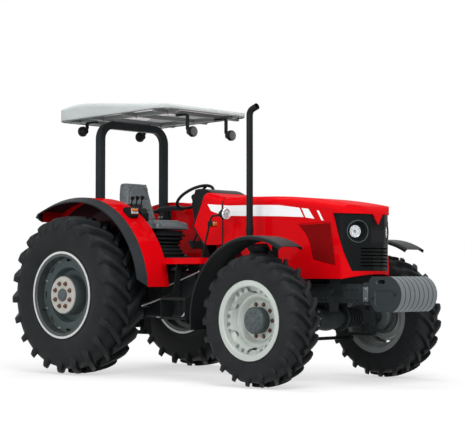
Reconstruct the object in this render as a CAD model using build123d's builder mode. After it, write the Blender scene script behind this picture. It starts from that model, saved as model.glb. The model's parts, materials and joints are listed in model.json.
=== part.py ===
from build123d import *
import math
import os

os.makedirs("parts", exist_ok=True)

# Frame: +X forward, +Y left, +Z up, origin on the ground under the middle of the box, millimetres.
# Stations along X are given from the rear axle (RA) or the front axle (FA), heights from the ground.

# Overall layout
WHEELBASE = 2440
REAR_TRACK = 1650
FRONT_TRACK = 1760
FRONT_REACH = 1030
REAR_REACH = 985

# Fits and clearances
SEAT = 0.3
RUN_GAP = 0.5
SIDE_GAP = 6
FENDER_CLEAR = 91.5

# Tyres and wheels
REAR_TYRE_R = 765
REAR_TYRE_WIDTH = 467
REAR_BEAD_R = 381
REAR_FLANGE_R = 420
REAR_RIM_HALF = 205
REAR_LUG_DEEP = 48
REAR_LUG_THICK = 46
FRONT_TYRE_R = 572
FRONT_TYRE_WIDTH = 315
FRONT_BEAD_R = 305
FRONT_FLANGE_R = 342
FRONT_RIM_HALF = 150
FRONT_LUG_DEEP = 36
FRONT_LUG_THICK = 34
LUG_COUNT = 21
LUG_SLANT = 44
RIM_WALL = 10
RIM_BAND = 14
RIM_FLANGE = 12
RIM_WELL = 42
DISC_THICK = 12
REAR_DISC_Y = 28
REAR_DISC_DISH = 70
REAR_DISC_BORE = 190
REAR_HUB_FACE = 182
REAR_CAP_R = 55
FRONT_DISC_Y = -12
FRONT_DISC_RING = 38
FRONT_DISC_DISH = 98
FRONT_DISC_BORE = 112
FRONT_HUB_FACE = 96
SCALLOP_R = 70
LOBE_COUNT = 6
HAND_HOLES = 8

# Rear drive line
TRUMPET_GAP = 265
TRUMPET_END_R = 95
CASE_HALF = 200
CASE_BACK = 230
CASE_LOW = 520
AXLE_SHAFT_R = 45
SHAFT_ENGAGE = 60
POST_PAD_TOP = 900

# Front axle and steering
KINGPIN_Y = 680
KINGPIN_R = 22
FORK_IN = 105
FORK_OUT = 140
FORK_R = 50
KNUCKLE_R = 46
SPINDLE_R = 40
HUB_INNER = 90
STEER_ARM = 250
STEER_ARM_Z = 395
STEER_ARM_THICK = 25
TIE_PIN_R = 12
TIE_ROD_R = 16
BEAM_R = 75
BULGE_R = 115

# Mudguards on the front wheels
GUARD_R = 715
GUARD_THICK = 6
GUARD_WIDTH = 290
GUARD_LIP = 30
GUARD_EDGE_R = 30
GUARD_TIP_R = 70
GUARD_FROM = 60
GUARD_TO = 188
GUARD_POST_GAP = 38

# Hood and nose
HOOD_HALF = 330
HOOD_WALL = 12
HOOD_REAR = 1490
HOOD_FLAT = 530
NOSE_AHEAD = 605
NOSE_SIDE = 450
NOSE_CORNER_R = 90
HOOD_LOW_REAR = 1240
HOOD_LOW_FRONT = 925
HOOD_STEP_FRONT = 150
HOOD_STEP_REAR = 405
HOOD_EDGE_R = 70
HOOD_TOP = 1684
HOOD_TOP_MID = 1671
HOOD_TOP_NOSE = 1552
HOOD_SEAM = 18
RECESS_DEEP = 6
COWL_TOP = 1735
COWL_BACK_TOP = 1250
COWL_BACK_MID = 1095
COWL_BACK_LOW = 1240
COWL_MID_Z = 1420
HINGE_X = 1510
HINGE_Z = 1660
HINGE_PIN_R = 8
HINGE_Y = 190
HINGE_DROP = 100
GRILLE_INSET = 9
GRILLE_DEPTH = 32
GRILLE_TOP = 1495
GRILLE_LOW = 992
GRILLE_BACK_TOP = 352
GRILLE_BACK_LOW = 506
SHIELD_HALF = 150
SHIELD_TIP = 1395
SLOT_COUNT = 6
SLOT_PITCH = 30
SLOT_TALL = 12
LAMP_R = 90
LAMP_Y = 205
LAMP_Z = 1335
LAMP_BACK = 78
LAMP_TURN = 25
LAMP_DEEP = 50

# Operator's place
DECK_TOP = 1117
DECK_THICK = 57
DECK_PLATE = 12
DECK_WING = 600
DECK_REAR = 40
DECK_FRONT = 1440
SEAT_X = 275
SEAT_LOW = 1400
CUSHION_LONG = 490
CUSHION_WIDE = 500
CUSHION_TALL = 90
BACK_TALL = 505
FENDER_WIDE = 270
FLARE_WIDE = 90
FENDER_R = 950
FENDER_SKIN = 8
FENDER_FROM = 5
FENDER_TO = 84
FENDER_TAIL = 600
FLARE_TAPER = 25
FLARE_THICK = 12
FENDER_LAMP_TURN = 54
STEER_X = 800
STEER_Z = 1722
WHEEL_TILT = 33
WHEEL_R = 192
COLUMN_R = 20
COLUMN_LEN = 330
DASH_HALF = 230
CONSOLE_Z = 1540

# Roll bar and canopy
POST_X = -100
POST_GAP = 60
POST_SIZE = 75
POST_BEND_R = 150
HOOP_TOP = 2505
CANOPY_HALF = 600
CANOPY_REAR = -590
CANOPY_FRONT = 970
CANOPY_LOW = 2530
CANOPY_CREST = -100
CANOPY_RISE = 142
CANOPY_LIP = 55
CANOPY_SKIN = 14
CANOPY_EDGE_R = 40
CANOPY_CORNER_R = 110
RAIL_STEP = 40
RAIL_SIZE = 40
WORK_LAMP_R = 52

# Three-point hitch, drawbar and power take-off
ROCK_X = -200
ROCK_Z = 1100
LINK_X = -100
LINK_Z = 450
LINK_PIN_Y = 220
BALL_X = -950
BALL_Z = 550
BALL_Y = 412.5
BALL_R = 35
BALL_BORE_R = 14.35
BALL_WIDTH = 45
LIFT_ARM = 400
LIFT_PIN_R = 12
ROD_STEP = 38
ARM_STEP = 34
ROCK_R = 35
LINK_PIN_R = 14
PTO_R = 17.35
PTO_JOURNAL_R = 24
PTO_LENGTH = 100
PTO_Z = 620
PTO_COLLAR = 5
PTO_SUNK = 75
DRAWBAR_PIN = -690
DRAWBAR_HOLE_R = 16.5
DRAWBAR_Z = 380
DRAWBAR_THICK = 35
DRAWBAR_HALF = 38
TOP_PIN_R = 12.85
TOP_PIN_BACK = 60
TOP_PIN_Z = 880

# Front frame, weights and engine
WEIGHT_COUNT = 8
WEIGHT_PITCH = 66
WEIGHT_THICK = 58
WEIGHT_REAR = 692
WEIGHT_LOW = 645
WEIGHT_TOP = 945
WEIGHT_BULGE = 148
HANDLE_LONG = 96
HANDLE_TALL = 34
FRAME_HALF = 250
FRAME_RAIL = 50
FRAME_TOP = 880
FRAME_TALL = 165
FRAME_BACK = -190
BRACKET_DEEP = 64
RADIATOR_TOP = 1400
RADIATOR_X = 310
AXLE_SADDLE = 140
BLOCK_LOW = 740
ENGINE_REAR = 1560
ENGINE_FRONT = 200
ENGINE_TOP = 1100

# Exhaust and side lamps
EXHAUST_X = 1940
EXHAUST_Y = -460
EXHAUST_Z = 1180
EXHAUST_R = 30
EXHAUST_TOP = 2440
MANIFOLD_Y = -220
SIDE_LAMP_R = 54
SIDE_LAMP_Z = 1505

# Worked out from the values above
RA = (REAR_REACH - WHEELBASE - FRONT_REACH) / 2
FA = RA + WHEELBASE
REAR_Z = REAR_TYRE_R
FRONT_Z = FRONT_TYRE_R
REAR_Y = REAR_TRACK / 2
FRONT_Y = FRONT_TRACK / 2
NOSE_X = FA + NOSE_AHEAD
CASE_REAR = RA - CASE_BACK
TRUMPET_END_Y = REAR_Y - TRUMPET_GAP
FENDER_IN_Y = REAR_Y - REAR_TYRE_WIDTH / 2 - FENDER_CLEAR
FENDER_SKIN_Y = FENDER_IN_Y + FENDER_WIDE
FLARE_Y = FENDER_SKIN_Y + FLARE_WIDE
DECK_HALF = FENDER_IN_Y - SEAT
POST_Y = FENDER_IN_Y - POST_GAP
RAIL_Y = POST_Y - RAIL_STEP
STEP_X = (RA + REAR_TYRE_R + FA - FRONT_TYRE_R) / 2 - 17
ROOF_LOW = CANOPY_LOW - RAIL_SIZE / 2
STEER_TILT = math.radians(WHEEL_TILT)
STEER_AXIS = (-math.sin(STEER_TILT), 0, math.cos(STEER_TILT))
STEER_PLANE = Plane(
    origin=(RA + STEER_X, 0, STEER_Z),
    x_dir=(math.cos(STEER_TILT), 0, math.sin(STEER_TILT)),
    z_dir=STEER_AXIS,
)


def save(part, name):
    part.label = name
    export_step(part, f"parts/{name}.step")


def save_pair(part, name):
    """Writes the left piece and its mirror image on the right."""
    save(part, f"{name}_left")
    save(mirror(part, about=Plane.XZ), f"{name}_right")


def axle_plane(x, y, z, turn=90):
    """A sketch plane through a wheel axis: local x points left, local y is the radius at that turn."""
    angle = math.radians(turn)
    return Plane(origin=(x, y, z), x_dir=(0, 1, 0), z_dir=(math.sin(angle), 0, -math.cos(angle)))


def face_plane(x, y, z):
    """A sketch plane square to a wheel axis, looking at the wheel from its left."""
    return Plane(origin=(x, y, z), x_dir=(1, 0, 0), z_dir=(0, 1, 0))


def drum(x, y, z, y0, y1, r, end_ys, fall, slope):
    """A many-sided drum from y0 to y1, flats at radius r; the ends at end_ys fall in over the slope."""
    with BuildPart() as form:
        with BuildSketch(face_plane(x, y + y0, z)):
            RegularPolygon(r, LUG_COUNT, major_radius=False)
        extrude(amount=y1 - y0)
        for end_y in end_ys:
            end = form.faces().filter_by(Axis.Y).sort_by(lambda f: abs(f.center().Y - y - end_y))[0]
            chamfer(end.edges(), length=fall, length2=slope, reference=end)
    return form.part


def make_tyre(x, y, z, radius, width, bead_r, flange_r, rim_half, lug_deep, lug_thick):
    """A tractor tyre: carcass with dished walls between the rim flanges, and two rows of slanted lugs."""
    half = width / 2
    wall = radius - flange_r
    bead_y = rim_half - RIM_FLANGE - SEAT
    belly_r = flange_r + wall * 0.42
    edge_y = half * 0.84
    edge_r = radius - 1.35 * lug_deep
    dish = half - bead_y
    slant = math.radians(LUG_SLANT)
    run = half * math.tan(slant) * 0.92
    thick = lug_thick / 2 / math.cos(slant)
    tilt = math.atan2(0.4 * lug_deep, half)
    far = run / 2 + thick
    height = math.sqrt(radius**2 - far**2) - half / 2 * math.tan(tilt)
    lead = math.asin(far / radius) - math.pi / 2
    with BuildPart() as tyre:
        add(drum(x, y, z, -half, half, edge_r, (-half, half), edge_r - belly_r, half - edge_y))
        for side in (1, -1):
            rim_fall = belly_r - flange_r - 25
            add(
                drum(x, y, z, side * bead_y, side * 2 * half, belly_r - 10, (side * bead_y,), rim_fall, dish),
                mode=Mode.SUBTRACT,
            )
        add(drum(x, y, z, -half, half, bead_r + SEAT, (), 0, 0), mode=Mode.SUBTRACT)
        for side, stagger in ((1, 0), (-1, 0.5)):
            planes = []
            for i in range(LUG_COUNT):
                turn = lead + 2 * math.pi * (i + stagger) / LUG_COUNT
                out_x, out_z = math.cos(turn), math.sin(turn)
                planes.append(
                    Plane(
                        origin=(x + out_x * height, y + side * half / 2, z + out_z * height),
                        x_dir=(-out_x * math.sin(tilt), side * math.cos(tilt), -out_z * math.sin(tilt)),
                        z_dir=(out_x * math.cos(tilt), side * math.sin(tilt), out_z * math.cos(tilt)),
                    )
                )
            with BuildSketch(*planes):
                with BuildLine():
                    inner_x = -half / 2 / math.cos(tilt)
                    outer_x = half / 2 - 2
                    Polyline(
                        (inner_x, -side * run / 2 - thick),
                        (inner_x, -side * run / 2 + thick),
                        (outer_x, side * run / 2 + thick),
                        (outer_x, side * run / 2 - thick),
                        close=True,
                    )
                make_face()
            extrude(amount=belly_r + 4 - height + half / 2 * math.tan(tilt))
    return tyre.part


def turned(x, y, z, points):
    """A piece turned about a wheel axis; points are (left of the wheel's middle, radius)."""
    with BuildPart() as piece:
        with BuildSketch(axle_plane(x, y, z)):
            with BuildLine():
                Polyline(*points, close=True)
            make_face()
        revolve(axis=Axis((x, y, z), (0, 1, 0)))
    return piece.part


def make_rim(x, y, z, bead_r, flange_r, rim_half):
    """The rolled rim: two flanges, two bead seats and a well, as one turned ring."""
    seat_y = rim_half - RIM_FLANGE
    well_y = rim_half * 0.36
    well_r = bead_r - RIM_WELL
    half = [
        (0, well_r),
        (well_y, well_r),
        (well_y + 18, bead_r - 4),
        (seat_y, bead_r),
        (seat_y, flange_r),
        (rim_half, flange_r),
        (rim_half, bead_r - 6),
        (rim_half - 8, bead_r - RIM_BAND),
        (well_y + 22, bead_r - RIM_BAND),
        (well_y + 4, well_r - RIM_WALL),
        (0, well_r - RIM_WALL),
    ]
    other = [(-out, r) for out, r in reversed(half) if out > 0]
    return turned(x, y, z, half + other)


def make_disc(x, y, z, face_line):
    """A pressed wheel disc: the line of its inner face, one plate thickness deep."""
    outer = [(out + DISC_THICK, r) for out, r in reversed(face_line)]
    return turned(x, y, z, face_line + outer)


with BuildPart() as rear_disc:
    knee = REAR_DISC_Y + REAR_DISC_DISH
    add(
        make_disc(RA, REAR_Y, REAR_Z, [
            (REAR_DISC_Y, REAR_DISC_BORE),
            (REAR_DISC_Y, REAR_DISC_BORE + 55),
            (knee, REAR_DISC_BORE + 78),
            (knee, REAR_BEAD_R - RIM_BAND - SEAT),
        ])
    )
    with BuildSketch(face_plane(RA, REAR_Y + knee - 20, REAR_Z)):
        with PolarLocations(REAR_BEAD_R - 43, HAND_HOLES):
            SlotOverall(70, 26, rotation=90)
    extrude(amount=60, mode=Mode.SUBTRACT)
save_pair(rear_disc.part, "disc_rear")

with BuildPart() as front_disc:
    knee = FRONT_DISC_Y + FRONT_DISC_DISH
    ring = FRONT_DISC_Y + FRONT_DISC_RING
    add(
        make_disc(FA, FRONT_Y, FRONT_Z, [
            (FRONT_DISC_Y, FRONT_DISC_BORE),
            (FRONT_DISC_Y, FRONT_DISC_BORE + 58),
            (ring, FRONT_DISC_BORE + 92),
            (ring, FRONT_DISC_BORE + 112),
            (knee, FRONT_DISC_BORE + 138),
            (knee, FRONT_BEAD_R - RIM_BAND - SEAT),
        ])
    )
    with BuildSketch(face_plane(FA, FRONT_Y + ring + 16, FRONT_Z)):
        with PolarLocations(FRONT_BEAD_R - 5, LOBE_COUNT, start_angle=180 / LOBE_COUNT):
            Circle(SCALLOP_R)
    extrude(amount=FRONT_DISC_DISH, mode=Mode.SUBTRACT)
save_pair(front_disc.part, "disc_front")

front_hub_in = KINGPIN_Y + HUB_INNER - FRONT_Y
save_pair(
    turned(FA, FRONT_Y, FRONT_Z, [
        (front_hub_in, SPINDLE_R + RUN_GAP),
        (front_hub_in, FRONT_DISC_BORE),
        (front_hub_in + 20, FRONT_DISC_BORE + 16),
        (FRONT_DISC_Y - 22, FRONT_DISC_BORE + 16),
        (FRONT_DISC_Y - 22, FRONT_DISC_BORE + 53),
        (FRONT_DISC_Y - SEAT, FRONT_DISC_BORE + 53),
        (FRONT_DISC_Y - SEAT, FRONT_DISC_BORE - SEAT),
        (FRONT_HUB_FACE - 16, FRONT_DISC_BORE - SEAT),
        (FRONT_HUB_FACE, FRONT_DISC_BORE - 16),
        (FRONT_HUB_FACE, 0),
        (30, 0),
        (30, SPINDLE_R + RUN_GAP),
    ]),
    "hub_front",
)

rear_shaft_in = TRUMPET_END_Y - SHAFT_ENGAGE - REAR_Y
save_pair(
    turned(RA, REAR_Y, REAR_Z, [
        (rear_shaft_in, 0),
        (rear_shaft_in, AXLE_SHAFT_R),
        (REAR_DISC_Y - 108, AXLE_SHAFT_R),
        (REAR_DISC_Y - 108, 2.4 * AXLE_SHAFT_R),
        (REAR_DISC_Y - 28, REAR_DISC_BORE - 50),
        (REAR_DISC_Y - 28, REAR_DISC_BORE + 50),
        (REAR_DISC_Y - SEAT, REAR_DISC_BORE + 50),
        (REAR_DISC_Y - SEAT, REAR_DISC_BORE - SEAT),
        (REAR_DISC_Y + DISC_THICK + 10, REAR_DISC_BORE - SEAT),
        (REAR_HUB_FACE - 8, REAR_DISC_BORE - 8),
        (REAR_HUB_FACE, REAR_DISC_BORE - 16),
        (REAR_HUB_FACE, REAR_CAP_R),
        (REAR_HUB_FACE + 12, REAR_CAP_R),
        (REAR_HUB_FACE + 18, REAR_CAP_R - 10),
        (REAR_HUB_FACE + 18, 0),
    ]),
    "hub_rear",
)

save_pair(
    make_tyre(RA, REAR_Y, REAR_Z, REAR_TYRE_R, REAR_TYRE_WIDTH, REAR_BEAD_R, REAR_FLANGE_R, REAR_RIM_HALF,
              REAR_LUG_DEEP, REAR_LUG_THICK),
    "tyre_rear",
)
save_pair(
    make_tyre(FA, FRONT_Y, FRONT_Z, FRONT_TYRE_R, FRONT_TYRE_WIDTH, FRONT_BEAD_R, FRONT_FLANGE_R,
              FRONT_RIM_HALF, FRONT_LUG_DEEP, FRONT_LUG_THICK),
    "tyre_front",
)
save_pair(make_rim(RA, REAR_Y, REAR_Z, REAR_BEAD_R, REAR_FLANGE_R, REAR_RIM_HALF), "rim_rear")
save_pair(make_rim(FA, FRONT_Y, FRONT_Z, FRONT_BEAD_R, FRONT_FLANGE_R, FRONT_RIM_HALF), "rim_front")

with BuildPart() as knuckle:
    arm_x = FA - STEER_ARM
    with Locations((FA, KINGPIN_Y, FRONT_Z)):
        Cylinder(KNUCKLE_R, 2 * (FORK_IN - SIDE_GAP))
    with BuildSketch(Plane.XY.offset(STEER_ARM_Z)):
        with Locations((FA, KINGPIN_Y)):
            Circle(KINGPIN_R)
    extrude(amount=FRONT_Z + FORK_OUT + 10 - STEER_ARM_Z)
    with Locations((FA, KINGPIN_Y + (HUB_INNER - 10) / 2, FRONT_Z)):
        Cylinder(58, HUB_INNER - 10, rotation=(90, 0, 0))
    spindle_len = FRONT_Y + 20 - KINGPIN_Y
    with Locations((FA, KINGPIN_Y + spindle_len / 2, FRONT_Z)):
        Cylinder(SPINDLE_R, spindle_len, rotation=(90, 0, 0))
    with BuildSketch(Plane.XY.offset(STEER_ARM_Z)):
        with Locations((FA, KINGPIN_Y)):
            Circle(36)
        with Locations((arm_x, KINGPIN_Y)):
            Circle(26)
        make_hull()
    extrude(amount=STEER_ARM_THICK)
    with BuildSketch(Plane.XY.offset(STEER_ARM_Z - 44)):
        with Locations((arm_x, KINGPIN_Y)):
            Circle(TIE_PIN_R)
    extrude(amount=60)
save_pair(knuckle.part, "knuckle")

with BuildPart() as mudguard:
    half = GUARD_WIDTH / 2
    outer_r = GUARD_R + GUARD_THICK
    with BuildSketch(axle_plane(FA, FRONT_Y, FRONT_Z, GUARD_FROM)) as lip:
        with BuildLine():
            Polyline(
                (-half, GUARD_R - GUARD_LIP),
                (-half, outer_r),
                (half, outer_r),
                (half, GUARD_R - GUARD_LIP),
                (half - GUARD_THICK, GUARD_R - GUARD_LIP),
                (half - GUARD_THICK, GUARD_R),
                (GUARD_THICK - half, GUARD_R),
                (GUARD_THICK - half, GUARD_R - GUARD_LIP),
                close=True,
            )
        make_face()
        fillet(lip.vertices().filter_by(lambda v: v.Y > outer_r - 1), GUARD_EDGE_R)
        fillet(lip.vertices().filter_by(lambda v: abs(v.Y - GUARD_R) < 1), GUARD_EDGE_R - GUARD_THICK)
    revolve(axis=Axis((FA, FRONT_Y, FRONT_Z), (0, -1, 0)), revolution_arc=GUARD_TO - GUARD_FROM)
    for turn in (GUARD_FROM, GUARD_TO):
        tip = Plane(
            origin=(FA, FRONT_Y, FRONT_Z),
            x_dir=(0, 1, 0),
            z_dir=(math.cos(math.radians(turn)), 0, math.sin(math.radians(turn))),
        )
        along = 1 if turn == GUARD_TO else -1
        with BuildSketch(tip.offset(GUARD_R / 2)) as corner:
            with Locations((0, along * GUARD_TIP_R)):
                Rectangle(2 * half, 4 * GUARD_TIP_R)
            with Locations((0, -along * GUARD_TIP_R)):
                RectangleRounded(2 * half + 1, 4 * GUARD_TIP_R, GUARD_TIP_R, mode=Mode.SUBTRACT)
        extrude(amount=GUARD_R, mode=Mode.SUBTRACT)
    post_y = FRONT_Y - FRONT_TYRE_WIDTH / 2 - GUARD_POST_GAP
    top_z = FRONT_Z + GUARD_R - GUARD_LIP / 2
    low_z = FRONT_Z + FORK_OUT + 10 + SEAT
    with BuildSketch(Plane.XZ.offset(-post_y - 6)) as post:
        with BuildLine():
            Polyline((FA - 45, low_z), (FA + 45, low_z), (FA + 30, top_z), (FA - 30, top_z), close=True)
        make_face()
    extrude(amount=12)
    with Locations((FA, (post_y - 6 + FRONT_Y) / 2, top_z - 7)):
        Box(60, FRONT_Y - post_y + 6, 14)
    with Locations((FA, FRONT_Y - 40, top_z + GUARD_LIP / 4)):
        Box(60, 80, GUARD_LIP / 2 + 4)
    with Locations((FA, KINGPIN_Y - 2, low_z + 8)):
        Box(90, 96, 16)
save_pair(mudguard.part, "mudguard")

with BuildPart() as tie_rod:
    tie_x = FA - STEER_ARM
    tie_z = STEER_ARM_Z - SIDE_GAP - 17
    ends = ((tie_x, KINGPIN_Y, tie_z), (tie_x, -KINGPIN_Y, tie_z))
    with Locations((tie_x, 0, tie_z)):
        Cylinder(TIE_ROD_R, 2 * KINGPIN_Y - 40, rotation=(90, 0, 0))
    with Locations((tie_x, KINGPIN_Y - 130, tie_z), (tie_x, 130 - KINGPIN_Y, tie_z)):
        Cylinder(TIE_ROD_R + 7, 90, rotation=(90, 0, 0))
    with Locations(*ends):
        Cylinder(27, 34)
    with Locations(*ends):
        Cylinder(TIE_PIN_R + RUN_GAP, 60, mode=Mode.SUBTRACT)
save(tie_rod.part, "tie_rod")

with BuildPart() as front_axle_beam:
    fork_web = KINGPIN_Y - KNUCKLE_R - SIDE_GAP - 8
    with BuildSketch(axle_plane(FA, 0, FRONT_Z)):
        with BuildLine():
            nose = ThreePointArc((0, BULGE_R), (80, BULGE_R - 10), (150, BEAM_R + 14))
            Polyline(
                nose @ 1,
                (190, BEAM_R + 8),
                (fork_web - 90, BEAM_R - 10),
                (fork_web - 40, BEAM_R - 4),
                (fork_web, BEAM_R - 4),
                (fork_web, 0),
                (0, 0),
                nose @ 0,
            )
        make_face()
    revolve(axis=Axis((FA, 0, FRONT_Z), (0, 1, 0)))
    with Locations((FA, fork_web - 20, FRONT_Z)):
        Box(2 * FORK_R, 40, 2 * FORK_OUT)
    for z0 in (FRONT_Z - FORK_OUT, FRONT_Z + FORK_IN):
        with BuildSketch(Plane.XY.offset(z0)):
            with Locations((FA, KINGPIN_Y)):
                Circle(FORK_R)
            with Locations((FA, (KINGPIN_Y + fork_web - 40) / 2)):
                Rectangle(2 * FORK_R, KINGPIN_Y - fork_web + 40)
            with Locations((FA, KINGPIN_Y)):
                Circle(KINGPIN_R + RUN_GAP, mode=Mode.SUBTRACT)
        extrude(amount=FORK_OUT - FORK_IN)
    with BuildSketch(Plane.YZ.offset(FA - 9)):
        with BuildLine():
            Polyline(
                (170, FRONT_Z + BEAM_R - 10),
                (fork_web - 20, FRONT_Z + BEAM_R - 20),
                (fork_web - 20, FRONT_Z + FORK_OUT - 12),
                close=True,
            )
        make_face()
    extrude(amount=18)
    mirror(about=Plane.XZ)
    with Locations((FA, 0, FRONT_Z + AXLE_SADDLE - 40)):
        Box(200, 130, 80)
save(front_axle_beam.part, "front_axle_beam")

with BuildPart() as front_support:
    frame_z = FRAME_TOP - FRAME_TALL / 2
    frame_back = FA + FRAME_BACK
    bracket_x = FA + WEIGHT_REAR - SEAT - BRACKET_DEEP
    with BuildSketch(Plane.XZ.offset(-FRAME_HALF)) as rail:
        with BuildLine():
            Polyline(
                (frame_back, FRAME_TOP - FRAME_TALL + 40),
                (frame_back + 90, FRAME_TOP - FRAME_TALL),
                (bracket_x + 10, FRAME_TOP - FRAME_TALL),
                (bracket_x + 10, FRAME_TOP),
                (frame_back, FRAME_TOP),
                close=True,
            )
        make_face()
        with Locations((FA - 90, frame_z + 10), (FA + 330, frame_z)):
            SlotOverall(150, 60, mode=Mode.SUBTRACT)
    extrude(amount=FRAME_RAIL)
    mirror(about=Plane.XZ)
    saddle_low = FRONT_Z + AXLE_SADDLE + SEAT
    with Locations((FA, 0, (saddle_low + BLOCK_LOW) / 2)):
        Box(240, 2 * FRAME_HALF - FRAME_RAIL, BLOCK_LOW - saddle_low)
    rest_y = (FRAME_HALF + HOOD_HALF) / 2
    rest_low = HOOD_LOW_FRONT - SEAT - 85
    rest_z = (HOOD_LOW_FRONT - SEAT + rest_low) / 2
    with Locations((FA + 10, rest_y - 2, rest_z), (FA + 10, 2 - rest_y, rest_z)):
        Box(60, HOOD_HALF - FRAME_HALF + 8, HOOD_LOW_FRONT - SEAT - rest_low)
    with BuildSketch(Plane.YZ.offset(bracket_x)):
        with Locations((0, frame_z)):
            RectangleRounded(2 * FRAME_HALF + 30, FRAME_TALL + 25, 24)
    extrude(amount=BRACKET_DEEP)
    with Locations((FA + 560, 0, frame_z)):
        Box(60, 2 * FRAME_HALF - 10, FRAME_TALL - 40)
save(front_support.part, "front_support")

with BuildPart() as front_weights:
    weight_x = FA + WEIGHT_REAR
    front_x = FA + FRONT_REACH
    outer_y = (WEIGHT_COUNT - 1) / 2 * WEIGHT_PITCH + WEIGHT_THICK / 2
    for i in range(WEIGHT_COUNT):
        y = (i - (WEIGHT_COUNT - 1) / 2) * WEIGHT_PITCH
        with BuildSketch(Plane.XZ.offset(-y - WEIGHT_THICK / 2)):
            with BuildLine():
                belly = ThreePointArc(
                    (front_x - 90, WEIGHT_LOW),
                    (front_x, WEIGHT_LOW + WEIGHT_BULGE),
                    (front_x - 115, WEIGHT_TOP),
                )
                Polyline(
                    belly @ 1,
                    (weight_x + 30, WEIGHT_TOP),
                    (weight_x, WEIGHT_TOP - 30),
                    (weight_x, WEIGHT_LOW + 90),
                    (weight_x + 70, WEIGHT_LOW),
                    belly @ 0,
                )
            make_face()
            with Locations((weight_x + 120, WEIGHT_TOP - 46)):
                SlotOverall(HANDLE_LONG, HANDLE_TALL, mode=Mode.SUBTRACT)
        extrude(amount=WEIGHT_THICK)
    for side in (1, -1):
        with BuildSketch(Plane.XZ.offset(side * (outer_y - 5))):
            with Locations((weight_x + 155, (WEIGHT_LOW + WEIGHT_TOP) / 2 - 32)):
                RectangleRounded(190, 130, 26)
        extrude(amount=side * 20, mode=Mode.SUBTRACT)
save(front_weights.part, "front_weights")

with BuildPart() as engine_block:
    block_half = FRAME_HALF - FRAME_RAIL - SEAT
    front_x = FA + ENGINE_FRONT
    rear_x = RA + ENGINE_REAR
    with BuildSketch(Plane.XZ):
        with BuildLine():
            Polyline(
                (rear_x, 560),
                (FA - 260, 560),
                (FA - 170, BLOCK_LOW),
                (front_x, BLOCK_LOW),
                (front_x, ENGINE_TOP),
                (rear_x, ENGINE_TOP),
                close=True,
            )
        make_face()
    extrude(amount=block_half, both=True)
    with BuildSketch(Plane.XY.offset(570)):
        with Locations((rear_x + 300, 0)):
            RectangleRounded(520, 300, 50)
    extrude(amount=-140, taper=8)
    with BuildSketch(Plane.XY.offset(ENGINE_TOP - 10)):
        with Locations((rear_x + 430, 0)):
            RectangleRounded(660, 290, 30)
    extrude(amount=220)
    with BuildSketch(Plane.XY.offset(ENGINE_TOP + 200)):
        with Locations((rear_x + 430, 0)):
            RectangleRounded(600, 210, 60)
    extrude(amount=170, taper=10)
    with Locations((rear_x + 400, MANIFOLD_Y + 50, EXHAUST_Z)):
        Box(480, 100, 110)
    with Locations((rear_x + 160, block_half + 20, 990), (rear_x + 300, block_half + 20, 990)):
        Cylinder(46, 190)
    with Locations((rear_x + 230, block_half - 10, 1090)):
        Box(260, 90, 40)
    with Locations((FA + 60, block_half + 10, 1010)):
        Cylinder(70, 170, rotation=(0, 90, 0))
    with Locations((FA + 60, block_half - 30, 960)):
        Box(90, 80, 80)
    with Locations((front_x + 30, 0, 1010)):
        Cylinder(110, 70, rotation=(0, 90, 0))
    core_z = (FRAME_TOP + SEAT + RADIATOR_TOP) / 2
    with Locations((FA + RADIATOR_X, 0, core_z)):
        Box(110, 500, RADIATOR_TOP - FRAME_TOP - SEAT)
    with BuildSketch(Plane.YZ.offset(FA + RADIATOR_X - 50)):
        with Locations((0, core_z)):
            RectangleRounded(470, RADIATOR_TOP - FRAME_TOP - 40, 60)
    extrude(amount=-50, taper=28)
    with Locations((front_x + 60, 0, 900)):
        Box(160, 300, 100)
save(engine_block.part, "engine_block")

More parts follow.
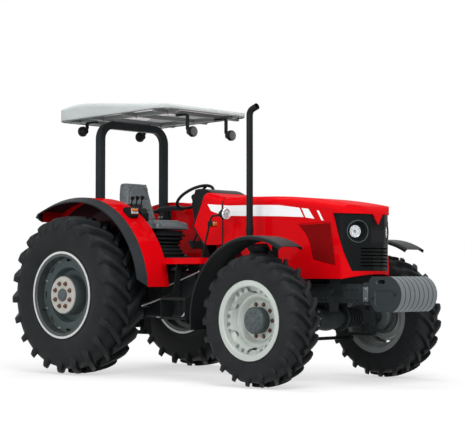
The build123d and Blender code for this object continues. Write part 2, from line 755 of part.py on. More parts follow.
with BuildPart() as transmission_case:
    bell_x = RA + ENGINE_REAR - SEAT
    with BuildSketch(Plane.YZ.offset(bell_x)):
        with Locations((0, 800)):
            RectangleRounded(420, 480, 110)
    with BuildSketch(Plane.YZ.offset(RA + 1090)):
        with Locations((0, 780)):
            RectangleRounded(330, 440, 60)
    loft(ruled=True)
    with BuildSketch(Plane.YZ.offset(RA + 1100)):
        with Locations((0, 770)):
            RectangleRounded(340, 460, 40)
    extrude(amount=-870)
    with BuildSketch(Plane.YZ.offset(CASE_REAR)):
        with Locations((0, CASE_LOW + 270)):
            RectangleRounded(2 * CASE_HALF, 540, 36)
    extrude(amount=CASE_BACK + 250)
    for x in (350, 560, 770, 980):
        with Locations((RA + x, 0, 770)):
            Box(22, 376, 420)
    with Locations((bell_x - 14, 0, 800)):
        Box(28, 452, 500)
    with BuildSketch(Plane.XY.offset(1030)):
        with Locations((RA - 150, 0)):
            RectangleRounded(330, 2 * CASE_HALF, 60)
    extrude(amount=160, taper=4)
    deck_low = DECK_TOP - DECK_PLATE - SEAT
    for x, low in ((300, 1033), (1250, 1000)):
        with Locations((RA + x, 0, (low + deck_low) / 2)):
            Box(200, 260, deck_low - low)
    with Locations((RA + ROCK_X, 0, ROCK_Z)):
        Cylinder(ROCK_R + RUN_GAP, 800, rotation=(90, 0, 0), mode=Mode.SUBTRACT)
    with Locations((CASE_REAR, 0, PTO_Z)):
        Cylinder(PTO_JOURNAL_R + RUN_GAP, 2 * (PTO_SUNK + SIDE_GAP), rotation=(0, 90, 0), mode=Mode.SUBTRACT)
    with Locations((RA + LINK_X, 0, LINK_Z + 30)):
        Box(110, 2 * CASE_HALF - 30, 110)
    with Locations((RA + LINK_X, 0, LINK_Z)):
        Cylinder(LINK_PIN_R, 2 * (LINK_PIN_Y + 22), rotation=(90, 0, 0))
    for y in (36, -36):
        with BuildSketch(Plane.XZ.offset(-y - 8)):
            with Locations((CASE_REAR - TOP_PIN_BACK, TOP_PIN_Z)):
                Circle(34)
            with Locations((CASE_REAR + 5, TOP_PIN_Z)):
                Rectangle(10, 130)
            make_hull()
        extrude(amount=16)
    with Locations((CASE_REAR - TOP_PIN_BACK, 0, TOP_PIN_Z)):
        Cylinder(TOP_PIN_R, 200, rotation=(90, 0, 0), mode=Mode.SUBTRACT)
save(transmission_case.part, "transmission_case")

with BuildPart() as rear_axle_housing:
    with BuildSketch(axle_plane(RA, 0, REAR_Z)):
        with BuildLine():
            Polyline(
                (CASE_HALF + SEAT, 0),
                (CASE_HALF + SEAT, 165),
                (CASE_HALF + 25, 165),
                (CASE_HALF + 45, 130),
                (TRUMPET_END_Y - 40, TRUMPET_END_R),
                (TRUMPET_END_Y - 40, TRUMPET_END_R + 20),
                (TRUMPET_END_Y, TRUMPET_END_R + 20),
                (TRUMPET_END_Y, AXLE_SHAFT_R + RUN_GAP),
                (TRUMPET_END_Y - SHAFT_ENGAGE - SIDE_GAP, AXLE_SHAFT_R + RUN_GAP),
                (TRUMPET_END_Y - SHAFT_ENGAGE - SIDE_GAP, 0),
                close=True,
            )
        make_face()
    revolve(axis=Axis((RA, 0, REAR_Z), (0, 1, 0)))
    with Locations((RA + POST_X + 40, POST_Y, (POST_PAD_TOP + REAR_Z + 60) / 2)):
        Box(200, 100, POST_PAD_TOP - REAR_Z - 60)
    mirror(about=Plane.XZ)
save(rear_axle_housing.part, "rear_axle_housing")

with BuildPart() as rops_frame:
    foot_z = POST_PAD_TOP + SEAT
    bar_z = HOOP_TOP - POST_SIZE / 2
    with BuildLine() as hoop:
        FilletPolyline(
            (RA + POST_X, POST_Y, foot_z),
            (RA + POST_X, POST_Y, bar_z),
            (RA + POST_X, -POST_Y, bar_z),
            (RA + POST_X, -POST_Y, foot_z),
            radius=POST_BEND_R,
        )
    with BuildSketch(Plane(origin=hoop.line @ 0, x_dir=(1, 0, 0), z_dir=(0, 0, 1))):
        RectangleRounded(POST_SIZE, POST_SIZE, 10)
    sweep()
    for y in (POST_Y, -POST_Y):
        with Locations((RA + POST_X, y, foot_z + 8)):
            Box(150, 96, 16)
        with BuildSketch(Plane.XZ.offset(-y - 5)):
            with BuildLine():
                Polyline(
                    (RA + POST_X - 70, foot_z),
                    (RA + POST_X + 70, foot_z),
                    (RA + POST_X, foot_z + 150),
                    close=True,
                )
            make_face()
        extrude(amount=10)
save(rops_frame.part, "rops_frame")


def canopy_solid(inset, drop):
    """The canopy's outer form, pulled in by inset; drop carries it past its open underside."""
    half = CANOPY_HALF - inset
    front = RA + CANOPY_FRONT - inset
    rear = RA + CANOPY_REAR + inset
    crest = CANOPY_LOW + CANOPY_RISE - inset
    with BuildPart() as form:
        with BuildSketch(Plane.XZ):
            with BuildLine():
                slope = Line((front - 12, CANOPY_LOW + CANOPY_LIP - inset), (RA + CANOPY_CREST, crest))
                back = TangentArc(slope @ 1, (rear + 30, crest - 36), tangent=slope % 1)
                Polyline(
                    back @ 1,
                    (rear, crest - 80),
                    (rear, CANOPY_LOW - 12 - drop),
                    (front, CANOPY_LOW + 12 - drop),
                    (front, CANOPY_LOW + CANOPY_LIP - 18 - inset),
                    slope @ 0,
                )
            make_face()
        extrude(amount=half, both=True)
        top_edges = form.edges().filter_by(lambda e: e.center().Z > CANOPY_LOW + CANOPY_LIP)
        long_edges = top_edges.filter_by(lambda e: e.length > 300)
        fillet(long_edges.filter_by(lambda e: abs(abs(e.center().Y) - half) < 1), CANOPY_EDGE_R - inset)
        with BuildSketch(Plane.XY.offset(CANOPY_LOW - 300)):
            with Locations(((front + rear) / 2, 0)):
                RectangleRounded(front - rear + 1, 2 * half + 1, CANOPY_CORNER_R - inset)
        extrude(amount=600, mode=Mode.INTERSECT)
    return form.part


with BuildPart() as canopy_roof:
    add(canopy_solid(0, 0))
    add(canopy_solid(CANOPY_SKIN, 100), mode=Mode.SUBTRACT)
save(canopy_roof.part, "canopy_roof")

with BuildPart() as canopy_frame:
    rail_mid = RA + (CANOPY_REAR + CANOPY_FRONT) / 2
    rail_len = CANOPY_FRONT - CANOPY_REAR - 2 * (CANOPY_SKIN + SEAT)
    bar_half = CANOPY_HALF - CANOPY_SKIN - SEAT
    with BuildSketch(Plane.YZ.offset(rail_mid - rail_len / 2)):
        with Locations((RAIL_Y, CANOPY_LOW), (-RAIL_Y, CANOPY_LOW)):
            RectangleRounded(RAIL_SIZE, RAIL_SIZE, 6)
    extrude(amount=rail_len)
    with BuildSketch(Plane.XZ.offset(-bar_half)):
        with Locations(*[(RA + x, CANOPY_LOW) for x in (-450, POST_X, 380, 825)]):
            RectangleRounded(RAIL_SIZE, RAIL_SIZE, 6)
    extrude(amount=2 * bar_half)
    drop = CANOPY_LOW - HOOP_TOP - SEAT
    foot_y = POST_Y - POST_BEND_R - 40
    for y in (foot_y, -foot_y):
        with Locations((RA + POST_X, y, CANOPY_LOW - drop / 2)):
            Box(60, 60, drop)
save(canopy_frame.part, "canopy_frame")

with BuildPart() as work_lamps:
    hang_z = ROOF_LOW - SEAT
    for x, y, z, turn in ((1010, 270, 2330, 1), (-400, RAIL_Y, 2420, -1)):
        with Locations((RA + x + turn * 18, y, z)):
            Cylinder(WORK_LAMP_R, 26, rotation=(0, 90, 0))
        with Locations((RA + x - turn * 18, y, z)):
            Cone(WORK_LAMP_R - 4, WORK_LAMP_R / 2, 46, rotation=(0, -turn * 90, 0))
        with BuildLine() as stay:
            FilletPolyline(
                (RA + x - turn * 20, y, z),
                (RA + x - turn * 50, y, z + 30),
                (RA + x - turn * 50, y, hang_z - 10),
                (RA + x - turn * 200, y, hang_z - 10),
                radius=20,
            )
        with BuildSketch(Plane(origin=stay.line @ 0, x_dir=(0, 1, 0), z_dir=stay.line % 0)):
            Rectangle(30, 20)
        sweep()
    mirror(about=Plane.XZ)
save(work_lamps.part, "work_lamps")

with BuildPart() as platform:
    deck_mid = RA + (DECK_REAR + DECK_FRONT) / 2
    deck_long = DECK_FRONT - DECK_REAR
    deck_low = DECK_TOP - DECK_THICK
    with BuildSketch(Plane.XY.offset(deck_low)) as outline:
        with Locations((deck_mid, 0)):
            Rectangle(deck_long, 2 * DECK_HALF)
        with Locations((RA + DECK_FRONT - 235, 0)):
            RectangleRounded(470, 2 * DECK_WING, 40)
    extrude(amount=DECK_THICK)
    with BuildSketch(Plane.XY.offset(deck_low)):
        with Locations((deck_mid, 0)):
            Rectangle(deck_long - 20, 2 * DECK_HALF - 20)
    extrude(amount=DECK_THICK - DECK_PLATE, mode=Mode.SUBTRACT)
save(platform.part, "platform")

with BuildPart() as steps:
    deck_low = DECK_TOP - DECK_THICK
    for x in (STEP_X - 159, STEP_X + 151):
        with BuildSketch(Plane.YZ.offset(x)) as plate:
            with BuildLine():
                Polyline(
                    (DECK_WING - 80, deck_low - SEAT),
                    (DECK_WING - 2, deck_low - SEAT),
                    (DECK_WING + 40, deck_low - 270),
                    (DECK_WING + 200, deck_low - 315),
                    (DECK_WING + 200, deck_low - 510),
                    (DECK_WING + 60, deck_low - 510),
                    (DECK_WING - 20, deck_low - 300),
                    close=True,
                )
            make_face()
            fillet(plate.vertices().filter_by(lambda v: v.X > DECK_WING + 150), 26)
        extrude(amount=8)
    for y, z in ((DECK_WING + 130, deck_low - 322), (DECK_WING + 140, deck_low - 498)):
        with BuildSketch(Plane.XY.offset(z - 10)):
            with Locations((STEP_X, y)):
                Rectangle(318, 130)
            with Locations(*[(STEP_X, y + d) for d in (-38, 0, 38)]):
                SlotOverall(250, 18, mode=Mode.SUBTRACT)
        extrude(amount=20)
    mirror(about=Plane.XZ)
save(steps.part, "steps")


def hood_solid(inset, extend):
    """The hood's outer form, pulled in by inset; extend carries it past its open bottom and rear."""
    half = HOOD_HALF - inset
    nose = NOSE_X - inset
    rear = RA + HOOD_REAR - extend
    low = HOOD_LOW_FRONT - extend
    with BuildPart() as form:
        with BuildSketch(Plane.XZ):
            with BuildLine():
                rise = (HOOD_TOP - HOOD_TOP_MID) / HOOD_FLAT
                back = HOOD_TOP + rise * extend - inset
                flat = Line((rear, back), (RA + HOOD_REAR + HOOD_FLAT, HOOD_TOP_MID - inset))
                front = TangentArc(flat @ 1, (nose - 66, HOOD_TOP_NOSE + 10 - inset), tangent=flat % 1)
                brow = ThreePointArc(
                    front @ 1,
                    (nose - 28, HOOD_TOP_NOSE - 18 - inset),
                    (nose - 12, HOOD_TOP_NOSE - 66 - inset),
                )
                Polyline(
                    brow @ 1,
                    (nose, low + 40),
                    (FA + NOSE_SIDE, low),
                    (FA - HOOD_STEP_FRONT, low),
                    (FA - HOOD_STEP_REAR, HOOD_LOW_REAR - extend),
                    (rear, HOOD_LOW_REAR - extend),
                    flat @ 0,
                )
            make_face()
        extrude(amount=half, both=True)
        long_edges = form.edges().filter_by(lambda e: e.center().Z > HOOD_TOP_NOSE and e.length > 300)
        fillet(long_edges.filter_by(lambda e: abs(abs(e.center().Y) - half) < 1), HOOD_EDGE_R - inset)
        with BuildSketch(Plane.XY) as plan:
            with BuildLine():
                side_x = FA + NOSE_SIDE - inset
                arc = ThreePointArc((side_x, -half), (nose + 2, 0), (side_x, half))
                Polyline(arc @ 1, (RA, half), (RA, -half), arc @ 0)
            make_face()
            fillet(plan.vertices().filter_by(lambda v: abs(v.X - side_x) < 1), NOSE_CORNER_R - inset)
        extrude(amount=2 * HOOD_TOP, mode=Mode.INTERSECT)
    return form.part


def grille_window():
    """The opening in the nose: slanted behind, with the hood's point coming down in the middle."""
    with BuildPart() as window:
        with BuildSketch(Plane.XZ):
            with BuildLine():
                Polyline(
                    (FA + GRILLE_BACK_TOP, GRILLE_TOP),
                    (NOSE_X + 155, GRILLE_TOP - 15),
                    (NOSE_X + 155, GRILLE_LOW),
                    (FA + GRILLE_BACK_LOW, GRILLE_LOW),
                    close=True,
                )
            make_face()
        extrude(amount=2 * HOOD_HALF, both=True)
        with BuildSketch(Plane.YZ.offset(FA + GRILLE_BACK_TOP - 100)):
            with BuildLine():
                brow_z = HOOD_TOP_NOSE + 48
                Polyline((-SHIELD_HALF, brow_z), (0, SHIELD_TIP), (SHIELD_HALF, brow_z), close=True)
            make_face()
        extrude(amount=600, mode=Mode.SUBTRACT)
    return window.part


def lamp_plane(side):
    """The headlamp's face: it looks ahead and a little outwards."""
    turn = math.radians(LAMP_TURN)
    return Plane(
        origin=(NOSE_X - LAMP_BACK, side * LAMP_Y, LAMP_Z),
        x_dir=(-math.sin(turn) * side, math.cos(turn), 0),
        z_dir=(math.cos(turn), side * math.sin(turn), 0),
    )


def cowl_solid(inset):
    """The cowl between hood and dash, in line with the hood's sides and top edges."""
    half = HOOD_HALF - inset
    front = RA + HOOD_REAR - HOOD_SEAM + 2 * inset
    drop = 3 * inset
    lean = (COWL_BACK_LOW - COWL_BACK_MID) / (COWL_MID_Z - HOOD_LOW_REAR)
    with BuildPart() as form:
        with BuildSketch(Plane.XZ):
            with BuildLine():
                Polyline(
                    (front, HOOD_LOW_REAR - drop),
                    (front, HOOD_TOP - 2 - inset),
                    (RA + COWL_BACK_TOP + inset, COWL_TOP - inset),
                    (RA + COWL_BACK_MID + inset, COWL_MID_Z),
                    (RA + COWL_BACK_LOW + inset + lean * drop, HOOD_LOW_REAR - drop),
                    close=True,
                )
            make_face()
        extrude(amount=half, both=True)
        top_edges = form.edges().filter_by(lambda e: e.center().Z > HOOD_TOP - inset and e.length < half)
        fillet(top_edges.filter_by(lambda e: abs(abs(e.center().Y) - half) < 1), HOOD_EDGE_R - inset)
    return form.part


with BuildPart() as rear_cowl:
    add(cowl_solid(0))
    add(cowl_solid(HOOD_WALL), mode=Mode.SUBTRACT)
    for y in (HINGE_Y, -HINGE_Y):
        with BuildSketch(Plane.XZ.offset(-y - 8)):
            with Locations((RA + HINGE_X, HINGE_Z - HINGE_DROP / 2)):
                Rectangle(18, HINGE_DROP)
            with Locations((RA + HINGE_X, HINGE_Z)):
                Circle(9)
            with Locations((RA + HINGE_X - 40, HINGE_Z - HINGE_DROP + 10)):
                Rectangle(98, 20)
            with Locations((RA + HINGE_X - 72, HINGE_Z - HINGE_DROP / 2 + 12)):
                Rectangle(34, HINGE_DROP + 24)
        extrude(amount=16)
    with Locations((RA + HINGE_X, 0, HINGE_Z)):
        Cylinder(HINGE_PIN_R, 2 * HINGE_Y + 60, rotation=(90, 0, 0))
    foot_top = HOOD_LOW_REAR + 3
    with Locations((RA + COWL_BACK_LOW + 15, 0, (foot_top + DECK_TOP + SEAT) / 2)):
        Box(40, 300, foot_top - DECK_TOP - SEAT)
save(rear_cowl.part, "rear_cowl")

with BuildPart() as hood_shell:
    add(hood_solid(0, 0))
    add(hood_solid(HOOD_WALL, 300), mode=Mode.SUBTRACT)
    add(grille_window(), mode=Mode.SUBTRACT)
    for side in (1, -1):
        with BuildSketch(Plane.XZ.offset(side * (HOOD_HALF - RECESS_DEEP))) as recess:
            with BuildLine():
                heel = ThreePointArc((FA - 59, 1407), (FA + 52, 1290), (FA + 117, 1082))
                Polyline(heel @ 1, (FA + 395, 1030), (FA + 337, 1423), heel @ 0)
            make_face()
            fillet(recess.vertices().filter_by(lambda v: v.X > FA + 100), 22)
        extrude(amount=side * 3 * RECESS_DEEP, mode=Mode.SUBTRACT)
    lug_y = HINGE_Y - 8 - SIDE_GAP - 10
    with Locations((RA + HINGE_X, lug_y, HINGE_Z), (RA + HINGE_X, -lug_y, HINGE_Z)):
        Box(28, 20, 30)
    with Locations((RA + HINGE_X, 0, HINGE_Z)):
        Cylinder(HINGE_PIN_R + RUN_GAP, 500, rotation=(90, 0, 0), mode=Mode.SUBTRACT)
save(hood_shell.part, "hood_shell")

with BuildPart() as grille:
    add(hood_solid(GRILLE_INSET, 100))
    add(hood_solid(GRILLE_INSET + GRILLE_DEPTH, 300), mode=Mode.SUBTRACT)
    add(grille_window(), mode=Mode.INTERSECT)
    for side in (1, -1):
        with BuildSketch(lamp_plane(side).offset(-120)):
            Circle(LAMP_R)
        extrude(amount=300, mode=Mode.SUBTRACT)
    with BuildSketch(Plane.YZ.offset(NOSE_X - 140)):
        for i in range(SLOT_COUNT):
            with Locations((0, GRILLE_LOW + 45 + i * SLOT_PITCH)):
                SlotOverall(380, SLOT_TALL)
    extrude(amount=200, mode=Mode.SUBTRACT)
save(grille.part, "grille")

with BuildPart() as headlamps:
    for side in (1, -1):
        face = lamp_plane(side)
        shell_r = LAMP_R - SEAT
        with BuildSketch(Plane(origin=face.origin, x_dir=face.z_dir, z_dir=face.x_dir)):
            with BuildLine():
                Polyline(
                    (-14, 0),
                    (-14, shell_r * 0.4),
                    (-24, shell_r - 18),
                    (-10, shell_r - 13),
                    (4, shell_r - 10),
                    (4, shell_r),
                    (-LAMP_DEEP, shell_r),
                    (-LAMP_DEEP, 0),
                    close=True,
                )
            make_face()
        revolve(axis=Axis(face.origin, face.z_dir))
save(headlamps.part, "headlamps")

with BuildPart() as steering_wheel:
    with BuildSketch(Plane(origin=STEER_PLANE.origin, x_dir=STEER_PLANE.x_dir, z_dir=STEER_PLANE.y_dir)):
        with Locations((WHEEL_R, 0)):
            Circle(15)
    revolve(axis=Axis(STEER_PLANE.origin, STEER_AXIS))
    for angle in (0, 120, 240):
        with BuildSketch(STEER_PLANE.offset(-6)):
            with Locations(Rotation(0, 0, angle)):
                with BuildLine():
                    Polyline((0, -24), (WHEEL_R, -11), (WHEEL_R, 11), (0, 24), close=True)
                make_face()
        extrude(amount=12)
    with BuildSketch(STEER_PLANE.offset(-40)):
        Circle(45)
    extrude(amount=55, taper=8)
    with BuildSketch(STEER_PLANE.offset(-COLUMN_LEN)):
        Circle(COLUMN_R)
    extrude(amount=COLUMN_LEN)
save(steering_wheel.part, "steering_wheel")

with BuildPart() as dash_console:
    with BuildSketch(Plane.XZ):
        with BuildLine():
            hump = ThreePointArc(
                (RA + COWL_BACK_TOP - SEAT, COWL_TOP),
                (RA + 1110, COWL_TOP + 44),
                (RA + 1000, COWL_TOP + 30),
            )
            Polyline(
                hump @ 1,
                (RA + 955, COWL_TOP - 95),
                (RA + 1000, 1440),
                (RA + 1120, DECK_TOP + SEAT),
                (RA + COWL_BACK_LOW - 10, DECK_TOP + SEAT),
                (RA + COWL_BACK_MID - SEAT, COWL_MID_Z),
                hump @ 0,
            )
        make_face()
    extrude(amount=DASH_HALF, both=True)
    side_edges = dash_console.edges().filter_by(lambda e: abs(abs(e.center().Y) - DASH_HALF) < 1)
    chamfer(side_edges.filter_by(lambda e: e.center().X < RA + 1090), 24)
    with BuildSketch(STEER_PLANE.offset(-COLUMN_LEN - 100)):
        Circle(COLUMN_R + 22)
    extrude(amount=COLUMN_LEN - 20)
    with BuildSketch(STEER_PLANE.offset(-COLUMN_LEN - SIDE_GAP)):
        Circle(COLUMN_R + RUN_GAP)
    extrude(amount=COLUMN_LEN, mode=Mode.SUBTRACT)
save(dash_console.part, "dash_console")

with BuildPart() as seat_base:
    base_mid = (DECK_TOP + SEAT_LOW) / 2
    for z, long, wide in (
        (DECK_TOP + SEAT, 420, 400),
        (DECK_TOP + 40, 420, 400),
        (base_mid, 330, 320),
        (SEAT_LOW - 40, 400, 380),
        (SEAT_LOW - SEAT, 400, 380),
    ):
        with BuildSketch(Plane.XY.offset(z)):
            with Locations((RA + SEAT_X - 15, 0)):
                RectangleRounded(long, wide, 40)
    loft(ruled=True)
save(seat_base.part, "seat_base")

with BuildPart() as seat_cushion:
    with BuildSketch(Plane.XY.offset(SEAT_LOW)) as pad:
        with Locations((RA + SEAT_X, 0)):
            RectangleRounded(CUSHION_LONG, CUSHION_WIDE, 70)
    extrude(amount=CUSHION_TALL)
    fillet(seat_cushion.edges().group_by(Axis.Z)[-1], 28)
save(seat_cushion.part, "seat_cushion")

with BuildPart() as seat_back:
    front_x = RA + SEAT_X - CUSHION_LONG / 2 - SEAT
    back_top = SEAT_LOW + BACK_TALL
    with BuildSketch(Plane.XZ):
        with BuildLine():
            face = ThreePointArc(
                (front_x, SEAT_LOW + CUSHION_TALL + 10),
                (front_x - 50, SEAT_LOW + 330),
                (front_x - 74, back_top),
            )
            Polyline(
                face @ 1,
                (front_x - 150, back_top - 10),
                (front_x - 90, SEAT_LOW + 30),
                (front_x, SEAT_LOW + 30),
                face @ 0,
            )
        make_face()
    extrude(amount=CUSHION_WIDE / 2, both=True)
    with BuildSketch(Plane.YZ.offset(front_x - 250)) as outline:
        with BuildLine():
            half = CUSHION_WIDE / 2 - 10
            Polyline(
                (-half, SEAT_LOW),
                (half, SEAT_LOW),
                (half, SEAT_LOW + 160),
                (half - 70, back_top + 20),
                (70 - half, back_top + 20),
                (-half, SEAT_LOW + 160),
                close=True,
            )
        make_face()
        fillet(outline.vertices().group_by(Axis.Y)[-1], 90)
    extrude(amount=400, mode=Mode.INTERSECT)
save(seat_back.part, "seat_back")

with BuildPart() as control_levers:
    console_y = FENDER_IN_Y - SEAT
    with BuildSketch(Plane.XZ.offset(console_y - 90)):
        with BuildLine():
            Polyline(
                (RA + 270, CONSOLE_Z - 65),
                (RA + 570, CONSOLE_Z - 65),
                (RA + 570, CONSOLE_Z + 10),
                (RA + 530, CONSOLE_Z + 65),
                (RA + 300, CONSOLE_Z + 65),
                (RA + 270, CONSOLE_Z + 30),
                close=True,
            )
        make_face()
    extrude(amount=90)
    for x in (350, 420, 490):
        stick = Plane(origin=(RA + x, 45 - console_y, CONSOLE_Z + 40), x_dir=(0, 1, 0), z_dir=(0.3, 0, 1))
        with BuildSketch(stick):
            Circle(7)
        extrude(amount=130)
        with BuildSketch(stick.offset(112)):
            Circle(12)
        extrude(amount=40, taper=-12)
save(control_levers.part, "control_levers")

with BuildPart() as exhaust_pipe:
    with BuildLine() as route:
        FilletPolyline(
            (RA + EXHAUST_X, MANIFOLD_Y - SEAT, EXHAUST_Z),
            (RA + EXHAUST_X, EXHAUST_Y, EXHAUST_Z),
            (RA + EXHAUST_X, EXHAUST_Y, EXHAUST_TOP),
            (RA + EXHAUST_X + 90, EXHAUST_Y, EXHAUST_TOP + 35),
            radius=60,
        )
    with BuildSketch(Plane(origin=route.line @ 0, z_dir=route.line % 0)):
        Circle(EXHAUST_R)
    sweep()
    with BuildSketch(Plane(origin=route.line @ 1, z_dir=-(route.line % 1))):
        Circle(EXHAUST_R - 4)
    extrude(amount=30, mode=Mode.SUBTRACT)
    with Locations((RA + EXHAUST_X, EXHAUST_Y, HOOD_LOW_REAR + 120)):
        Cylinder(EXHAUST_R + 7, 24)
save(exhaust_pipe.part, "exhaust_pipe")

with BuildPart() as side_lamps:
    lamp_y = HOOD_HALF + 160
    with BuildLine() as tube:
        FilletPolyline(
            (RA + 1400, -lamp_y - 30, DECK_TOP + 3),
            (RA + 1500, -lamp_y - 10, SIDE_LAMP_Z - 5),
            (RA + 1640, -lamp_y, SIDE_LAMP_Z),
            radius=40,
        )
    with BuildSketch(Plane(origin=tube.line @ 0, z_dir=tube.line % 0)):
        Circle(9)
    sweep()
    with Locations((RA + 1662, -lamp_y, SIDE_LAMP_Z + 10)):
        Cylinder(SIDE_LAMP_R, 26, rotation=(0, 90, 0))
    with Locations((RA + 1627, -lamp_y, SIDE_LAMP_Z + 10)):
        Cone(SIDE_LAMP_R - 3, SIDE_LAMP_R / 2, 46, rotation=(0, -90, 0))
    with BuildSketch(Plane.XZ.offset(lamp_y - 22)):
        with Locations((RA + 1510, SIDE_LAMP_Z - 78)):
            RectangleRounded(62, 52, 10)
    extrude(amount=62)
    with Locations((RA + 1400, -lamp_y - 30, DECK_TOP + SEAT + 4)):
        Cylinder(24, 8)
    mirror(about=Plane.XZ)
save(side_lamps.part, "side_lamps")


def fender_outline(inset, drop):
    """The fender's side outline, pulled in by inset: round over the tyre, then a long sweep to its tail."""
    r = FENDER_R - inset
    arc = CenterArc((RA, REAR_Z), r, FENDER_FROM, FENDER_TO - FENDER_FROM)
    tail = TangentArc(arc @ 1, (RA - FENDER_TAIL + inset * 0.6, REAR_Z + r - 115), tangent=arc % 1)
    low = arc @ 0
    Polyline(
        tail @ 1,
        (RA - FENDER_TAIL - 66 + inset, REAR_Z + FENDER_R - 203 - drop),
        (low.X, low.Y - drop - 1),
        low,
    )
    return arc, tail


def fender_prism(inset, drop, y0, length, taper):
    """The outline at y0 on the right, pushed outwards."""
    with BuildPart() as prism:
        with BuildSketch(Plane.XZ.offset(y0)):
            with BuildLine():
                fender_outline(inset, drop)
            make_face()
        extrude(amount=length, taper=taper)
    return prism.part


with BuildPart() as fender:
    add(fender_prism(0, 0, FENDER_IN_Y, FENDER_WIDE, 0))
    add(fender_prism(FENDER_SKIN, 400, FENDER_IN_Y + FENDER_SKIN, FENDER_WIDE, 0), mode=Mode.SUBTRACT)
save(fender.part, "rear_fender_right")
save(mirror(fender.part, about=Plane.XZ), "rear_fender_left")

with BuildPart() as flare:
    add(fender_prism(0, 0, FENDER_SKIN_Y + SEAT, FLARE_WIDE, FLARE_TAPER))
    add(fender_prism(FLARE_THICK, 400, FENDER_SKIN_Y + SEAT, FLARE_WIDE, FLARE_TAPER), mode=Mode.SUBTRACT)
    mirror(about=Plane.XZ)
save(flare.part, "fender_flares")

with BuildPart() as fender_lamps:
    lamp_turn = math.radians(FENDER_LAMP_TURN)
    lamp_r = FENDER_R + 27
    lamp_y = FENDER_SKIN_Y - 120
    lamp_x = RA + lamp_r * math.cos(lamp_turn)
    lamp_z = REAR_Z + lamp_r * math.sin(lamp_turn)
    with BuildSketch(Plane.XZ.offset(lamp_y - 50)) as body:
        with Locations((lamp_x, lamp_z)):
            RectangleRounded(110, 100, 18)
    extrude(amount=100)
    with Locations((RA, -lamp_y, REAR_Z)):
        Cylinder(FENDER_R + SEAT, 300, rotation=(90, 0, 0), mode=Mode.SUBTRACT)
    mirror(about=Plane.XZ)
save(fender_lamps.part, "fender_lamps")

with BuildPart() as drawbar:
    with BuildSketch(Plane.XY.offset(DRAWBAR_Z - DRAWBAR_THICK / 2)):
        with Locations((RA + DRAWBAR_PIN, 0)):
            Circle(DRAWBAR_HALF + 8)
        with Locations((RA + (DRAWBAR_PIN + 150) / 2, 0)):
            Rectangle(150 - DRAWBAR_PIN, 2 * DRAWBAR_HALF)
        with Locations((RA + DRAWBAR_PIN, 0)):
            Circle(DRAWBAR_HOLE_R, mode=Mode.SUBTRACT)
    extrude(amount=DRAWBAR_THICK)
    hang = (CASE_LOW - SEAT + DRAWBAR_Z) / 2
    with Locations((RA + 100, 0, hang), (CASE_REAR + 45, 0, hang)):
        Box(60, 100, CASE_LOW - SEAT - DRAWBAR_Z)
save(drawbar.part, "drawbar")

link = (BALL_X - LINK_X, BALL_Y - LINK_PIN_Y, BALL_Z - LINK_Z)
share = LIFT_ARM / math.hypot(link[0], link[2])
hook = (RA + LINK_X + share * link[0], LINK_PIN_Y + share * link[1], LINK_Z + share * link[2])
arm_end = (RA + ROCK_X + share * link[0], ROCK_Z + share * link[2])
ROD_Y = hook[1] + ROD_STEP

with BuildPart() as lower_links:
    with BuildLine() as centre:
        Line((RA + LINK_X, LINK_PIN_Y, LINK_Z), (RA + BALL_X, BALL_Y, BALL_Z))
    with BuildSketch(Plane(origin=centre.line @ 0, x_dir=(0, 0, 1), z_dir=centre.line % 0)):
        Rectangle(60, 22)
    sweep()
    with Locations((RA + LINK_X, LINK_PIN_Y, LINK_Z)):
        Cylinder(38, 26, rotation=(90, 0, 0))
    with Locations((RA + BALL_X, BALL_Y, BALL_Z)):
        Cylinder(BALL_R, BALL_WIDTH, rotation=(90, 0, 0))
    with Locations((hook[0], hook[1] + ROD_STEP / 2 + 5, hook[2])):
        Cylinder(LIFT_PIN_R, ROD_STEP + 18, rotation=(90, 0, 0))
    with Locations((RA + LINK_X, LINK_PIN_Y, LINK_Z)):
        Cylinder(LINK_PIN_R + RUN_GAP, 60, rotation=(90, 0, 0), mode=Mode.SUBTRACT)
    with Locations((RA + BALL_X, BALL_Y, BALL_Z)):
        Cylinder(BALL_BORE_R, 80, rotation=(90, 0, 0), mode=Mode.SUBTRACT)
    mirror(about=Plane.XZ)
save(lower_links.part, "lower_links")

with BuildPart() as lift_rods:
    rod_top = (arm_end[0], ROD_Y, arm_end[1])
    rod_low = (hook[0], ROD_Y, hook[2])
    with BuildLine() as rod_line:
        Line(rod_low, rod_top)
    with BuildSketch(Plane(origin=rod_low, z_dir=rod_line.line % 0)):
        Circle(14)
    sweep()
    with BuildSketch(Plane(origin=rod_line.line @ 0.35, z_dir=rod_line.line % 0)):
        RegularPolygon(22, 6)
    extrude(amount=0.3 * math.dist(rod_low, rod_top))
    with Locations(rod_top, rod_low):
        Cylinder(28, 20, rotation=(90, 0, 0))
    with Locations(rod_top, rod_low):
        Cylinder(LIFT_PIN_R + RUN_GAP, 60, rotation=(90, 0, 0), mode=Mode.SUBTRACT)
    mirror(about=Plane.XZ)
save(lift_rods.part, "lift_rods")

with BuildPart() as lift_arms:
    with Locations((RA + ROCK_X, 0, ROCK_Z)):
        Cylinder(ROCK_R, 2 * ROD_Y - 20, rotation=(90, 0, 0))
    arm_y = ROD_Y - ARM_STEP
    with BuildSketch(Plane.XZ.offset(-arm_y - 12)):
        with Locations((RA + ROCK_X, ROCK_Z)):
            Circle(55)
        with Locations(arm_end):
            Circle(28)
        make_hull()
    extrude(amount=24)
    with Locations((arm_end[0], arm_y + ARM_STEP / 2 + 5, arm_end[1])):
        Cylinder(LIFT_PIN_R, ARM_STEP + 18, rotation=(90, 0, 0))
    mirror(about=Plane.XZ)
save(lift_arms.part, "lift_arms")

